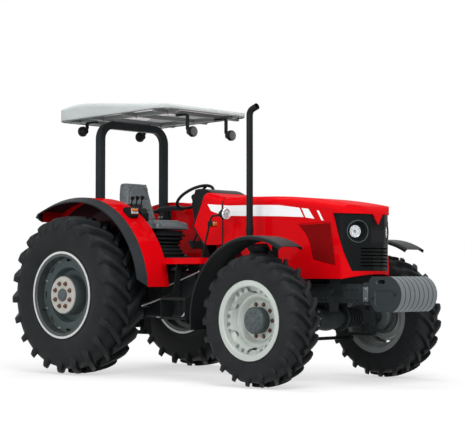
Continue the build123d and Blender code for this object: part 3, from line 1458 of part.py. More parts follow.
with BuildPart() as pto_shaft:
    with Locations((CASE_REAR + (PTO_SUNK - PTO_COLLAR) / 2, 0, PTO_Z)):
        Cylinder(PTO_JOURNAL_R, PTO_SUNK + PTO_COLLAR, rotation=(0, 90, 0))
    with Locations((CASE_REAR - PTO_COLLAR - PTO_LENGTH / 2, 0, PTO_Z)):
        Cylinder(PTO_R, PTO_LENGTH, rotation=(0, 90, 0))
save(pto_shaft.part, "pto_shaft")
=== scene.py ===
import json
import math
from functools import cached_property
from itertools import product

import bmesh
import bpy
from mathutils import Matrix, Vector
from mathutils.bvhtree import BVHTree


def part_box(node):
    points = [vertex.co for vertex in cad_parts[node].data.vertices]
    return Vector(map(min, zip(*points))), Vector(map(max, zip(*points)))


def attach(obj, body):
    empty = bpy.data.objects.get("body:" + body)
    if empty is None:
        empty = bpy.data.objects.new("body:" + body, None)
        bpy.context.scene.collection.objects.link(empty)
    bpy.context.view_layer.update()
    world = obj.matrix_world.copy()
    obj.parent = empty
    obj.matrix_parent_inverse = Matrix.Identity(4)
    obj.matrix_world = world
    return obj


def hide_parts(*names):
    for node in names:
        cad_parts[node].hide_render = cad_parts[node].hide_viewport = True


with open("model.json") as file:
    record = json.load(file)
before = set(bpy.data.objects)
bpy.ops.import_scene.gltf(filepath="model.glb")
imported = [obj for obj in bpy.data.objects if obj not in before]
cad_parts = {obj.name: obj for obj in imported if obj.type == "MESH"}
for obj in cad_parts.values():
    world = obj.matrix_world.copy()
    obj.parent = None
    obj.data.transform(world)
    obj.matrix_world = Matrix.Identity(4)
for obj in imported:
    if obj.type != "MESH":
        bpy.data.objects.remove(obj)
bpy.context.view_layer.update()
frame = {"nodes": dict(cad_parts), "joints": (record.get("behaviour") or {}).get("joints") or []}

# Places taken from the frame, in metres
JOINT = {joint["name"]: joint for joint in frame["joints"]}
RA, REAR_Y, REAR_Z = JOINT["spin_rear_left"]["pos_m"]
FA, FRONT_Y, FRONT_Z = JOINT["spin_front_left"]["pos_m"]
WHEELBASE = FA - RA
SIDES = (("left", 1), ("right", -1))

# Camera fitted to the photograph
CAMERA_AT = (RA + 10.4458, -9.809, 0.9609)
CAMERA_YAW = 42.998
CAMERA_PITCH = 2.432
IMAGE_WIDTH = 465
FOCAL_PIXELS = 1404.43
SENSOR_WIDTH = 36

# Colours, linear
RED = (0.57, 0.0016, 0.0045)
# Painted shade: darker red for the recess in the hood's sides, as the recess looks in shade
RECESS_PAINTED_SHADE = (0.24, 0.0008, 0.0015)
# Painted shade: dark maroon for the fenders' undersides and arches, the red paint as it looks in shade
FENDER_PAINTED_SHADE = (0.030, 0.010, 0.012)
BLACK = (0.0075, 0.0092, 0.0100)
CHARCOAL = (0.0150, 0.0200, 0.0220)
CAST_GREY = (0.019, 0.023, 0.025)
WHEEL_GREY = (0.38, 0.415, 0.39)
RIM_SILVER = (0.55, 0.57, 0.55)
DISC_GREY = (0.062, 0.082, 0.082)
HUB_PALE = (0.40, 0.39, 0.36)
HUB_GREY = (0.066, 0.080, 0.083)
WEIGHT_GREY = (0.135, 0.155, 0.160)
ROOF_GREY = (0.44, 0.48, 0.475)
# Painted light: near white for the roof's underside, standing in for light that shows through the moulding
ROOF_UNDERSIDE_PAINTED_LIGHT = (0.90, 0.91, 0.91)
RAIL_GREY = (0.13, 0.155, 0.155)
VINYL_GREY = (0.088, 0.106, 0.114)
RUBBER = (0.010, 0.011, 0.012)
WHITE = (0.80, 0.81, 0.82)
PLATE_GREY = (0.11, 0.125, 0.13)
AMBER = (0.85, 0.20, 0.01)
LAMP_RED = (0.55, 0.01, 0.008)
STEEL = (0.56, 0.57, 0.57)
COPPER = (0.10, 0.046, 0.030)
ZINC = (0.22, 0.23, 0.23)
MIRROR = (0.80, 0.82, 0.84)
FLARE_BLACK = (0.016, 0.019, 0.021)
# Painted shade: the weights' faces that look left or right, darker as they look in shade
WEIGHT_SIDE_PAINTED_SHADE = (0.024, 0.030, 0.032)
# Painted shade: the rear rims' barrels inside the flange, dark as they look in shade
RIM_BARREL_PAINTED_SHADE = (0.045, 0.052, 0.052)
# Painted shade: the front wheels' inboard side, darker as it looks in shade
WHEEL_INBOARD_PAINTED_SHADE = (0.11, 0.125, 0.125)
LENS_CLEAR = (0.90, 0.93, 0.95)
LENS_SMOKE = (0.018, 0.022, 0.024)
DUST = (0.20, 0.17, 0.13)


def at(x, y, z):
    """A point measured from the rear axle, the middle plane and the ground."""
    return Vector((RA + x, y, z))


# Materials

DULL = 0.08  # specular level of dark paint and plastic
EDGE_SOFT = 0.0025  # radius that the shading gives to sharp edges
ROUGH_VARY = 0.08
NOISE_RANGE = (0.3, 0.7)  # where most of a noise lies


def shade(colour, factor):
    return tuple(min(1.0, channel * factor) for channel in colour)


class Graph:
    """A material's or world's node tree with short calls for adding and linking nodes."""

    def __init__(self, name, kind="materials", shader="Principled BSDF"):
        self.block = getattr(bpy.data, kind).new(name)
        self.block.use_nodes = True
        self.tree = self.block.node_tree
        self.shader = self.tree.nodes[shader]

    @cached_property
    def place(self):
        """Where a point is in the frame."""
        return self.add("TexCoord").outputs["Object"]

    def add(self, kind, **settings):
        node = self.tree.nodes.new("ShaderNode" + kind)
        for key, value in settings.items():
            setattr(node, key, value)
        return node

    def put(self, socket, value):
        """Links a socket to an output, or sets it to a number or colour."""
        if isinstance(value, bpy.types.NodeSocket):
            self.tree.links.new(value, socket)
        else:
            socket.default_value = (*value, 1.0) if isinstance(value, tuple) else value

    def feed(self, node, **values):
        """Puts values into a node's inputs; a name has _ for each space."""
        for key, value in values.items():
            self.put(node.inputs[key.replace("_", " ")], value)
        return node

    def surface(self, **values):
        self.feed(self.shader, **values)

    def noise(self, scale, detail=4.0, rough=0.6):
        node = self.feed(self.add("TexNoise"), Scale=scale, Detail=detail, Roughness=rough, Vector=self.place)
        return node.outputs["Fac"]

    def cells(self, scale):
        node = self.add("TexVoronoi", feature="DISTANCE_TO_EDGE")
        return self.feed(node, Scale=scale, Vector=self.place).outputs["Distance"]

    def remap(self, value, low, high, to_low=0.0, to_high=1.0):
        node = self.feed(self.add("MapRange"), Value=value, From_Min=low, From_Max=high, To_Min=to_low, To_Max=to_high)
        return node.outputs["Result"]

    def math(self, operation, *values):
        node = self.add("Math", operation=operation)
        for socket, value in zip(node.inputs, values):
            self.put(socket, value)
        return node.outputs["Value"]

    def mix(self, factor, first, second):
        node = self.add("Mix", data_type="RGBA")
        for index, value in zip((0, 6, 7), (factor, first, second)):
            self.put(node.inputs[index], value)
        return node.outputs[2]

    def tint(self, value, colour, less, more, span=NOISE_RANGE):
        """A colour between a darker and a lighter shade, by a noise."""
        return self.mix(self.remap(value, *span), shade(colour, less), shade(colour, more))

    def part_of(self, vector, letter):
        return self.feed(self.add("SeparateXYZ"), Vector=vector).outputs[letter]

    def axis(self, letter):
        return self.part_of(self.place, letter)

    def off_middle(self):
        """How far a point is from the middle plane."""
        return self.math("ABSOLUTE", self.axis("Y"))

    def from_line(self, x, z):
        """How far a point is from a line along Y."""
        gaps = [self.math("SUBTRACT", self.axis(letter), value) for letter, value in (("X", x), ("Z", z))]
        squares = [self.math("MULTIPLY", gap, gap) for gap in gaps]
        return self.math("SQRT", self.math("ADD", *squares))

    def facing(self, letter):
        """How far the surface itself faces along an axis of the frame."""
        return self.part_of(self.add("NewGeometry").outputs["True Normal"], letter)

    def bump(self, height, strength, distance, edge=0.0):
        """Bump from a height, over edges that are softened by a small radius."""
        node = self.feed(self.add("Bump"), Strength=strength, Distance=distance, Height=height)
        if edge:
            soft = self.feed(self.add("Bevel", samples=4), Radius=edge)
            self.feed(node, Normal=soft.outputs["Normal"])
        self.surface(Normal=node.outputs["Normal"])


def finish_of(name, colour, rough, vary, grain, bump, metal=0.0, coat=0.0, depth=0.0004, patch=2.5, dust=0.0, spec=0.5,
              glow_through=0.0, under=None, sides=None, inside=None, inboard=None):
    """A surface with soft colour patches, fine grain in its bump and uneven gloss.

    glow_through is how much light passes through a thin moulding.
    under is another colour for faces that look down, and sides for faces that look left or right; on the fenders and
    the weights these are painted shade, and under the roof painted light.
    inside is (x, z, radius, least y, colour): the colour of what lies nearer than radius to that line along Y; it
    paints shade into the fender arches and the rim barrels.
    inboard is (most y, colour): the colour of what lies nearer than that to the middle plane; it paints shade on the
    front wheels' inboard side.
    """
    graph = Graph(name)
    base = graph.tint(graph.noise(patch), colour, 1 - vary, 1 + vary)
    if under:
        base = graph.mix(graph.remap(graph.facing("Z"), -0.5, -0.7), base, under)
    if sides:
        base = graph.mix(graph.remap(graph.math("ABSOLUTE", graph.facing("Y")), 0.6, 0.8), base, sides)
    if inside:
        x, z, radius, least_y, inner = inside
        near = graph.math("LESS_THAN", graph.from_line(x, z), radius)
        wide = graph.math("GREATER_THAN", graph.off_middle(), least_y)
        base = graph.mix(graph.math("MULTIPLY", near, wide), base, inner)
    if inboard:
        most_y, inner = inboard
        base = graph.mix(graph.math("LESS_THAN", graph.off_middle(), most_y), base, inner)
    if dust:
        height = graph.remap(graph.axis("Z"), 0.1, 1.3, 1.0, 0.0)
        settled = graph.math("MULTIPLY", height, graph.remap(graph.noise(9.0, 6.0, 0.7), 0.42, 0.75, 0.0, dust))
        base = graph.mix(settled, base, DUST)
    fine = graph.noise(grain)
    graph.surface(Base_Color=base, Roughness=graph.remap(fine, *NOISE_RANGE, rough - ROUGH_VARY, rough + ROUGH_VARY),
                  Metallic=metal, Coat_Weight=coat, Coat_Roughness=0.05, Specular_IOR_Level=spec)
    graph.bump(fine, bump, depth, EDGE_SOFT)
    if glow_through:
        graph.surface(Subsurface_Weight=glow_through, Subsurface_Scale=0.07, Subsurface_Radius=Vector((1, 1, 1)))
    return graph.block


def make_glass(name, colour, rough=0.04, clear=0.35):
    """A clear or tinted moulded lens with fine ribs."""
    graph = Graph(name)
    wave = graph.feed(graph.add("TexWave", wave_type="BANDS", bands_direction="Y"), Scale=60.0, Distortion=0.4,
                      Vector=graph.place)
    graph.bump(wave.outputs["Fac"], 0.3, 0.0008)
    graph.surface(Base_Color=graph.tint(graph.noise(40.0, 3.0, 0.5), colour, 0.9, 1.05), Roughness=rough, IOR=1.49,
                  Transmission_Weight=clear, Coat_Weight=0.8, Coat_Roughness=0.03)
    return graph.block


def make_vinyl(name, colour):
    """Seat vinyl: a leather-like grain with worn, shinier patches."""
    graph = Graph(name)
    patches = graph.noise(6.0)
    graph.surface(Base_Color=graph.tint(patches, colour, 0.86, 1.14),
                  Roughness=graph.remap(patches, *NOISE_RANGE, 0.40, 0.56), Sheen_Weight=0.1)
    graph.bump(graph.remap(graph.cells(260.0), 0.0, 0.12), 0.22, 0.0006)
    return graph.block


def make_tyre_rubber(name):
    """Tyre rubber: near black with lighter patches and a faint moulded grain."""
    graph = Graph(name)
    patches = graph.noise(7.0, 6.0, 0.65)
    graph.surface(Base_Color=graph.tint(patches, RUBBER, 0.8, 1.5, (0.35, 0.7)),
                  Roughness=graph.remap(patches, *NOISE_RANGE, 0.44, 0.62), Specular_IOR_Level=0.12)
    graph.bump(graph.noise(220.0), 0.18, 0.0006)
    return graph.block


def make_mesh_sheet(name, colour, pitch):
    """A sheet with rows of small round holes, drawn as dark pits: the shade inside the holes is painted."""
    graph = Graph(name)
    rows = [graph.math("SINE", graph.math("MULTIPLY", graph.axis(letter), 2 * math.pi / pitch)) for letter in "XZ"]
    open_at = graph.remap(graph.math("ABSOLUTE", graph.math("MULTIPLY", *rows)), 0.30, 0.55)
    base = graph.tint(graph.noise(5.0), colour, 0.9, 1.1)
    # Painted shade: the holes are a third as bright as the sheet
    graph.surface(Base_Color=graph.mix(open_at, base, shade(colour, 0.35)),
                  Roughness=graph.remap(open_at, 0.0, 1.0, 0.36, 0.7), Specular_IOR_Level=0.06)
    graph.bump(graph.math("SUBTRACT", 1.0, open_at), 0.5, 0.0015)
    return graph.block


PAINT = {"coat": 0.10, "depth": 0.0002, "patch": 1.6, "spec": 0.0}
# Painted shade over the rear tyres: the fender arch within this radius of the axle is painted dark maroon
FENDER_ARCH_PAINTED_SHADE = (RA, REAR_Z, 0.9455, 0.5045, FENDER_PAINTED_SHADE)
# Painted shade: what lies inside the rear rim's flange radius is painted dark
RIM_INSIDE_PAINTED_SHADE = (RA, REAR_Z, 0.399, 0.0, RIM_BARREL_PAINTED_SHADE)

MAT = {  # name, colour, roughness, how far the colour varies, grain, bump
    "red": finish_of("red_paint", RED, 0.30, 0.05, 420.0, 0.05, **PAINT),
    # Painted shade: fender faces that look down, and the arch over the tyre, are painted dark maroon
    "fender": finish_of("fender_paint_with_painted_shade", RED, 0.30, 0.05, 420.0, 0.05, **PAINT, under=FENDER_PAINTED_SHADE, inside=FENDER_ARCH_PAINTED_SHADE),
    "recess_sheet_painted_shade": make_mesh_sheet("recess_mesh", RECESS_PAINTED_SHADE, 0.012),
    # Painted light: the roof's faces that look down are painted near white
    "roof": finish_of("roof_moulding_with_painted_light", ROOF_GREY, 0.50, 0.04, 240.0, 0.06, patch=1.8, spec=0.12, glow_through=0.8,
                      under=ROOF_UNDERSIDE_PAINTED_LIGHT),
    "charcoal": finish_of("charcoal_paint", CHARCOAL, 0.40, 0.12, 300.0, 0.08, spec=DULL),
    "black_paint": finish_of("black_paint", BLACK, 0.38, 0.18, 260.0, 0.08, dust=0.08, spec=DULL),
    "plastic": finish_of("black_plastic", BLACK, 0.42, 0.12, 700.0, 0.16, depth=0.0003, spec=DULL),
    "grille": make_mesh_sheet("grille_black", BLACK, 0.010),
    "soft_rubber": finish_of("flare_rubber", FLARE_BLACK, 0.50, 0.12, 420.0, 0.14, spec=DULL),
    "cast": finish_of("cast_iron_paint", CAST_GREY, 0.50, 0.25, 130.0, 0.35, depth=0.0008, dust=0.10, spec=DULL),
    # Painted shade: the weights' sides are painted darker than their fronts
    "weight": finish_of("weight_paint_with_painted_shade", WEIGHT_GREY, 0.46, 0.10, 150.0, 0.28, depth=0.0007, spec=0.15,
                        sides=WEIGHT_SIDE_PAINTED_SHADE),
    # Painted shade: the front wheel paint is darker on the side towards the middle plane
    "wheel": finish_of("wheel_paint_with_painted_shade", WHEEL_GREY, 0.40, 0.06, 240.0, 0.08, coat=0.08, dust=0.06,
                       inboard=(FRONT_Y - 0.03, WHEEL_INBOARD_PAINTED_SHADE)),
    # Painted shade: the rim is painted dark inside its bright flange
    "rim": finish_of("rim_silver_with_painted_shade", RIM_SILVER, 0.32, 0.06, 240.0, 0.08, metal=0.35, inside=RIM_INSIDE_PAINTED_SHADE),
    "disc": finish_of("disc_grey_paint", DISC_GREY, 0.42, 0.12, 200.0, 0.12, dust=0.08, spec=DULL),
    "hub_pale": finish_of("hub_pale_paint", HUB_GREY, 0.45, 0.12, 160.0, 0.2, spec=0.3, sides=HUB_PALE),
    "hub_grey": finish_of("hub_grey_paint", HUB_GREY, 0.45, 0.15, 160.0, 0.2, dust=0.08, spec=0.15),
    "rail": finish_of("rail_grey", RAIL_GREY, 0.45, 0.08, 240.0, 0.08),
    "plate": finish_of("plate_grey", PLATE_GREY, 0.38, 0.12, 180.0, 0.15, metal=0.3),
    "white": finish_of("white_stripe", WHITE, 0.25, 0.03, 300.0, 0.04, coat=0.5, depth=0.0002),
    "steel": finish_of("bare_steel", STEEL, 0.32, 0.10, 180.0, 0.12, metal=1.0),
    "zinc": finish_of("zinc_bolts", ZINC, 0.36, 0.2, 220.0, 0.15, metal=0.8),
    "copper": finish_of("stud_copper", COPPER, 0.40, 0.25, 200.0, 0.2, metal=0.5),
    "mirror": finish_of("reflector", MIRROR, 0.12, 0.03, 90.0, 0.3, metal=1.0),
    "vinyl": make_vinyl("seat_vinyl", VINYL_GREY),
    "tyre": make_tyre_rubber("tyre_rubber"),
    "lens": make_glass("clear_lens", LENS_CLEAR, clear=0.85),
    "smoke": make_glass("smoked_lens", LENS_SMOKE, clear=0.12),
    "amber": make_glass("amber_lens", AMBER, 0.12),
    "tail": make_glass("red_lens", LAMP_RED, 0.12),
}

NODE_MATERIALS = {  # what each node of the solids is made of
    "red": ("hood_shell", "rear_cowl", "platform"),
    "fender": ("rear_fender_left", "rear_fender_right"),
    "roof": ("canopy_roof",),
    "charcoal": ("rops_frame",),
    "rail": ("canopy_frame",),
    "black_paint": ("exhaust_pipe", "steps", "drawbar", "lower_links", "lift_rods", "tie_rod"),
    "plastic": ("dash_console", "control_levers", "work_lamps", "side_lamps", "fender_lamps", "headlamps",
                "steering_wheel", "seat_base", "mudguard_left", "mudguard_right"),
    "grille": ("grille",),
    "soft_rubber": ("fender_flares",),
    "cast": ("engine_block", "transmission_case", "rear_axle_housing", "front_axle_beam", "front_support",
             "lift_arms", "knuckle_left", "knuckle_right"),
    "hub_grey": ("hub_front_left", "hub_front_right"),
    "hub_pale": ("hub_rear_left", "hub_rear_right"),
    "weight": ("front_weights",),
    "wheel": ("disc_front_left", "disc_front_right", "rim_front_left", "rim_front_right"),
    "disc": ("disc_rear_left", "disc_rear_right"),
    "rim": ("rim_rear_left", "rim_rear_right"),
    "steel": ("pto_shaft",),
    "vinyl": ("seat_cushion", "seat_back"),
    "tyre": ("tyre_front_left", "tyre_front_right", "tyre_rear_left", "tyre_rear_right"),
}

for key, names in NODE_MATERIALS.items():
    for name in names:
        mesh = frame["nodes"][name].data
        mesh.materials.clear()
        mesh.materials.append(MAT[key])


# Mesh helpers

SHARP_SHADING = math.radians(38)
SHARP_BEVEL = math.radians(35)


def new_object(name, data):
    thing = bpy.data.objects.new(name, data)
    bpy.context.scene.collection.objects.link(thing)
    return thing


def make_piece(name, shape, material, body, slot, bevel=0.0, segments=1):
    """A mesh piece that rides on a body, from (verts, faces) or a list of them; its sharp edges may be rounded."""
    verts, faces = merge(shape)
    mesh = bpy.data.meshes.new(name)
    mesh.from_pydata([tuple(v) for v in verts], [], faces)
    mesh.validate()
    built = bmesh.new()
    built.from_mesh(mesh)
    bmesh.ops.recalc_face_normals(built, faces=built.faces)
    if bevel:
        sharp = [e for e in built.edges if len(e.link_faces) == 2 and e.calc_face_angle() > SHARP_BEVEL]
        bmesh.ops.bevel(built, geom=sharp, offset=bevel, segments=segments, affect="EDGES", clamp_overlap=True)
    built.to_mesh(mesh)
    built.free()
    piece = new_object(name, mesh)
    mesh.materials.append(MAT[material])
    mesh.shade_smooth()
    mesh.set_sharp_from_angle(angle=SHARP_SHADING)
    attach(piece, body)
    return piece


def fixed(name, shape, material, slot, **rounding):
    """A piece that rides on the chassis."""
    return make_piece(name, shape, material, "chassis", slot, **rounding)


def merge(shape):
    """A list of (verts, faces) as one; a single one stays as it is."""
    if isinstance(shape, tuple):
        return shape
    verts, faces = [], []
    for more_verts, more_faces in shape:
        start = len(verts)
        verts += more_verts
        faces += [[start + i for i in face] for face in more_faces]
    return verts, faces


def both(shape):
    """A shape and the same on the other side of the middle plane."""
    verts, faces = merge(shape)
    other = [Vector((v[0], -v[1], v[2])) for v in verts], [face[::-1] for face in faces]
    return merge([(verts, faces), other])


def ring_faces(rings, count, wrap=None):
    """Quads that join rings of count points each, closed by flat caps or, with wrap, from the last ring to the first.

    wrap is the point of the first ring that meets the last ring's first point.
    """
    faces = []
    for r in range(rings - 1):
        for i in range(count):
            j = (i + 1) % count
            faces.append([r * count + i, r * count + j, (r + 1) * count + j, (r + 1) * count + i])
    last = (rings - 1) * count
    if wrap is None:
        return faces + [list(range(count))[::-1], [last + i for i in range(count)]]
    for i in range(count):
        j = (i + 1) % count
        faces.append([last + i, last + j, (wrap + j) % count, (wrap + i) % count])
    return faces


def frame_of(axis):
    """An axis and two directions square to it."""
    axis = Vector(axis).normalized()
    across = axis.orthogonal().normalized()
    return axis, across, axis.cross(across)


def turned(profile, origin, axis, count, loop=False):
    """A solid of revolution: profile points are (distance along the axis, radius)."""
    axis, across, up = frame_of(axis)
    verts = []
    for along, radius in profile:
        for i in range(count):
            angle = 2 * math.pi * i / count
            verts.append(Vector(origin) + axis * along + (across * math.cos(angle) + up * math.sin(angle)) * radius)
    return verts, ring_faces(len(profile), count, 0 if loop else None)


def band(half, inner, outer, centre, axis, count=40):
    """A flat ring about an axis; half is half its width."""
    return turned([(-half, inner), (-half, outer), (half, outer), (half, inner)], centre, axis, count, loop=True)


def bolt(foot, axis, size):
    """A hexagon bolt head on its washer, with a chamfered top."""
    washer = turned([(0, size * 1.1), (size * 0.18, size * 1.1), (size * 0.22, size * 1.04)], foot, axis, 14)
    head = turned([(size * 0.2, size * 0.85), (size * 0.75, size * 0.85), (size * 0.88, size * 0.7)], foot, axis, 6)
    return merge([washer, head])


def spoke(angle, radius):
    """A step out from an axis along Y; the angle runs from forward to up, in degrees."""
    turn = math.radians(angle)
    return Vector((math.cos(turn), 0, math.sin(turn))) * radius


def bolt_ring(centre, axis, radius, angles, size):
    """Bolts on a circle about an axis along Y."""
    return merge([bolt(Vector(centre) + spoke(angle, radius), axis, size) for angle in angles])


def every(count, start=0.0):
    """Angles spaced evenly round a circle, in degrees."""
    return [start + 360 * i / count for i in range(count)]


def tube(points, radius, count, closed=False):
    """A round tube along points, with flat ends, or a closed ring of it."""
    points = [Vector(p) for p in points]
    total = len(points)
    rings = []
    normal = None
    for i, point in enumerate(points):
        if closed:
            ahead = points[(i + 1) % total] - points[i - 1]
        else:
            ahead = points[min(i + 1, total - 1)] - points[max(i - 1, 0)]
        ahead.normalize()
        if normal is None:
            normal = ahead.orthogonal().normalized()
        normal = (normal - ahead * normal.dot(ahead)).normalized()
        side = ahead.cross(normal)
        for k in range(count):
            angle = 2 * math.pi * k / count
            rings.append(point + (normal * math.cos(angle) + side * math.sin(angle)) * radius)
    start = min(range(count), key=lambda k: (rings[k] - rings[-count]).length) if closed else None
    return rings, ring_faces(total, count, start)


def smooth_path(points, steps):
    """Points along a curve that passes through the given ones."""
    points = [Vector(p) for p in points]
    padded = [2 * points[0] - points[1], *points, 2 * points[-1] - points[-2]]
    path = []
    for i in range(1, len(padded) - 2):
        a, b, c, d = padded[i - 1:i + 3]
        for k in range(steps):
            t = k / steps
            path.append(0.5 * (2 * b + (c - a) * t + (2 * a - 5 * b + 4 * c - d) * t * t
                               + (3 * b - a - 3 * c + d) * t ** 3))
    path.append(points[-1])
    return path


def slab(centre, size, turn=Matrix.Identity(3)):
    """A box's corners and faces; turn is a rotation about its centre."""
    half = Vector(size) / 2
    verts = [Vector(centre) + turn @ Vector((x * half.x, y * half.y, z * half.z))
             for x, y, z in product((-1, 1), repeat=3)]
    faces = [[0, 1, 3, 2], [4, 6, 7, 5], [0, 4, 5, 1], [2, 3, 7, 6], [0, 2, 6, 4], [1, 5, 7, 3]]
    return verts, faces


def rounded_rectangle(half_x, half_y, corner, steps=6):
    """Points round a rectangle with rounded corners, as (x, y) from its middle."""
    points = []
    for quarter, (sx, sy) in enumerate(((1, 1), (-1, 1), (-1, -1), (1, -1))):
        for k in range(steps + 1):
            angle = math.pi / 2 * (quarter + k / steps)
            points.append((sx * (half_x - corner) + corner * math.cos(angle),
                           sy * (half_y - corner) + corner * math.sin(angle)))
    return points


SKIN_LIFT = 0.0002
OUTSIDE = 0.9  # clear of the hood, cowl, engine and case
SURFACES = {}


def touch(node, start, direction):
    """Where a ray first meets a node, and which way the surface faces there."""
    if node not in SURFACES:
        mesh = frame["nodes"][node].data
        SURFACES[node] = BVHTree.FromPolygons([v.co for v in mesh.vertices], [p.vertices[:] for p in mesh.polygons])
    place, normal, _, _ = SURFACES[node].ray_cast(Vector(start), Vector(direction))
    return place, normal


def touch_side(node, x, z, side):
    """Where a node is met from the left or right, at a place from the rear axle and the ground."""
    return touch(node, at(x, side * OUTSIDE, z), (0, -side, 0))


def along(points, share):
    """The point at a share of a line's length."""
    points = [Vector(p) for p in points]
    spans = [(b - a).length for a, b in zip(points, points[1:])]
    left = share * sum(spans)
    for a, b, span in zip(points, points[1:], spans):
        if left <= span:
            return a.lerp(b, left / span)
        left -= span
    return points[-1]


def skin(node, first, second, side, columns, rows, thick=0.0012):
    """A thin closed sheet laid on a node from one side, between two lines of (x, z) from the rear axle."""
    outer, inner = [], []
    for i in range(columns + 1):
        a, b = along(first, i / columns), along(second, i / columns)
        for j in range(rows + 1):
            x, z = a.lerp(b, j / rows)
            place, normal = touch_side(node, x, z, side)
            outer.append(place + normal * (SKIN_LIFT + thick))
            inner.append(place + normal * SKIN_LIFT)
    count = rows + 1
    total = len(outer)
    faces = []
    for i in range(columns):
        for j in range(rows):
            a = i * count + j
            faces.append([a, a + 1, a + count + 1, a + count])
            faces.append([total + a, total + a + count, total + a + count + 1, total + a + 1])
    edge = [i * count for i in range(columns + 1)] + [columns * count + j for j in range(1, rows + 1)]
    edge += [i * count + rows for i in range(columns - 1, -1, -1)] + list(range(rows - 1, 0, -1))
    for a, b in zip(edge, edge[1:] + edge[:1]):
        faces.append([a, b, total + b, total + a])
    return outer + inner, faces


# Tyres: LUGS bars a side, as in the solids

LUGS = 21
LUG_HIGH, LUG_WIDE = 0.050, 0.032  # on a rear tyre
LUG_SLANT = math.radians(44)
CARCASS_SEGMENTS = 84


def bezier(a, b, c, d, steps):
    points = []
    for k in range(steps):
        t = k / steps
        points.append(tuple((1 - t) ** 3 * p + 3 * t * (1 - t) ** 2 * q + 3 * t * t * (1 - t) * r + t ** 3 * s
                            for p, q, r, s in zip(a, b, c, d)))
    return points


def tyre_profile(tip_r, half, flange_r, bead_r, bead_y, lug):
    """One side of the carcass, from the bead out to the middle of the tread, as (y, r)."""
    wall = tip_r - flange_r
    belly = (half * 0.965, flange_r + wall * 0.42)
    shoulder = (half * 0.80, tip_r - lug * 1.5)
    points = [(bead_y - 0.02, bead_r), (bead_y, bead_r), (bead_y + 0.004, flange_r - 0.008)]
    points += [(bead_y + 0.012, flange_r + 0.006), (bead_y + 0.006, flange_r + 0.016)]
    points += bezier((bead_y + 0.010, flange_r + 0.024), (half * 0.93, flange_r + wall * 0.12),
                     (half * 0.965, flange_r + wall * 0.25), belly, 7)
    points += bezier(belly, (half * 0.965, flange_r + wall * 0.62), (half * 0.93, tip_r - lug * 1.9), shoulder, 6)
    points += bezier(shoulder, (half * 0.55, tip_r - lug * 1.12), (half * 0.3, tip_r - lug), (0, tip_r - lug), 5)
    return points


def lug_bar(centre, side, start, run, tip_r, half, lug, width):
    """One bar of the tread: from just over the middle line out to the shoulder and down the side."""
    stations = (  # top y, how far the top falls, base y, depth of the base in lugs
        (-0.05, 0.000, -0.05, 1.35),
        (0.20, 0.001, 0.20, 1.40),
        (0.45, 0.004, 0.43, 1.60),
        (0.68, 0.010, 0.64, 1.85),
        (0.86, 0.020, 0.78, 2.30),
        (0.955, 0.040, 0.85, 2.90),
        (0.985, 0.072, 0.88, 3.40),
        (0.985, 0.108, 0.90, 3.80),
    )
    verts = []
    for top_y, drop, base_y, depth in stations:
        angle = start + run * min(top_y, 0.94) * (1.12 - 0.12 * max(top_y, 0))
        spread = width * (1.0 + 0.25 * max(top_y, 0)) / tip_r
        top_r = tip_r - drop
        base_r = min(tip_r - lug * depth, top_r - 0.01)
        for y, r, wide in ((base_y, base_r, -1.25), (top_y, top_r, -0.78), (top_y, top_r, 0.78),
                           (base_y, base_r, 1.25)):
            turn = angle + spread * wide
            verts.append(Vector((centre[0] + r * math.cos(turn), centre[1] + side * y * half,
                                 centre[2] + r * math.sin(turn))))
    return verts, ring_faces(len(stations), 4)


def make_tyre(end, side_name, wheel_side):
    """A traction tyre in place of its solid: a carcass with sidewall rings and two rows of slanted bars."""
    node = f"tyre_{end}_{side_name}"
    low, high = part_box(node)
    rim_low, rim_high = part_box(f"rim_{end}_{side_name}")
    centre = (low + high) / 2
    tip_r = (high.z - low.z) / 2
    half = (high.y - low.y) / 2
    flange_r = (rim_high.z - rim_low.z) / 2
    bead_y = (rim_high.y - rim_low.y) / 2 - 0.014
    lug = LUG_HIGH * tip_r / REAR_Z
    width = LUG_WIDE * tip_r / REAR_Z
    run = half * math.tan(LUG_SLANT) * 0.92 / tip_r
    lead = math.asin(run / 2 + width / tip_r) - math.pi / 2
    profile = tyre_profile(tip_r, half, flange_r, flange_r - 0.036, bead_y, lug)
    profile += [(-y, r) for y, r in profile[::-1]]
    groups = [turned(profile, centre, (0, 1, 0), CARCASS_SEGMENTS, loop=True)]
    for side in (1, -1):
        stagger = 0.0 if side == wheel_side else 0.5
        for i in range(LUGS):
            start = lead + 2 * math.pi * (i + stagger) / LUGS - run / 2
            groups.append(lug_bar(centre, side, start, run, tip_r, half, lug, width))
    piece = make_piece(f"{node}_tread", groups, "tyre", f"wheel_{end}_{side_name}", node, bevel=0.003)
    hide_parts(node)


# Wheel fastenings

STUD_CIRCLE = 0.115
HUB_CAP = ((0.178, 0.062), (0.186, 0.062), (0.190, 0.056), (0.196, 0.058), (0.203, 0.050), (0.206, 0.030))
VALVES = {  # out from the wheel's middle, ahead and up
    "rear": ((0.10, -0.338, -0.150), (0.13, -0.328, -0.146), (0.16, -0.322, -0.143)),
    "front": ((0.09, 0.262, -0.128), (0.11, 0.255, -0.125), (0.13, 0.250, -0.122)),
}


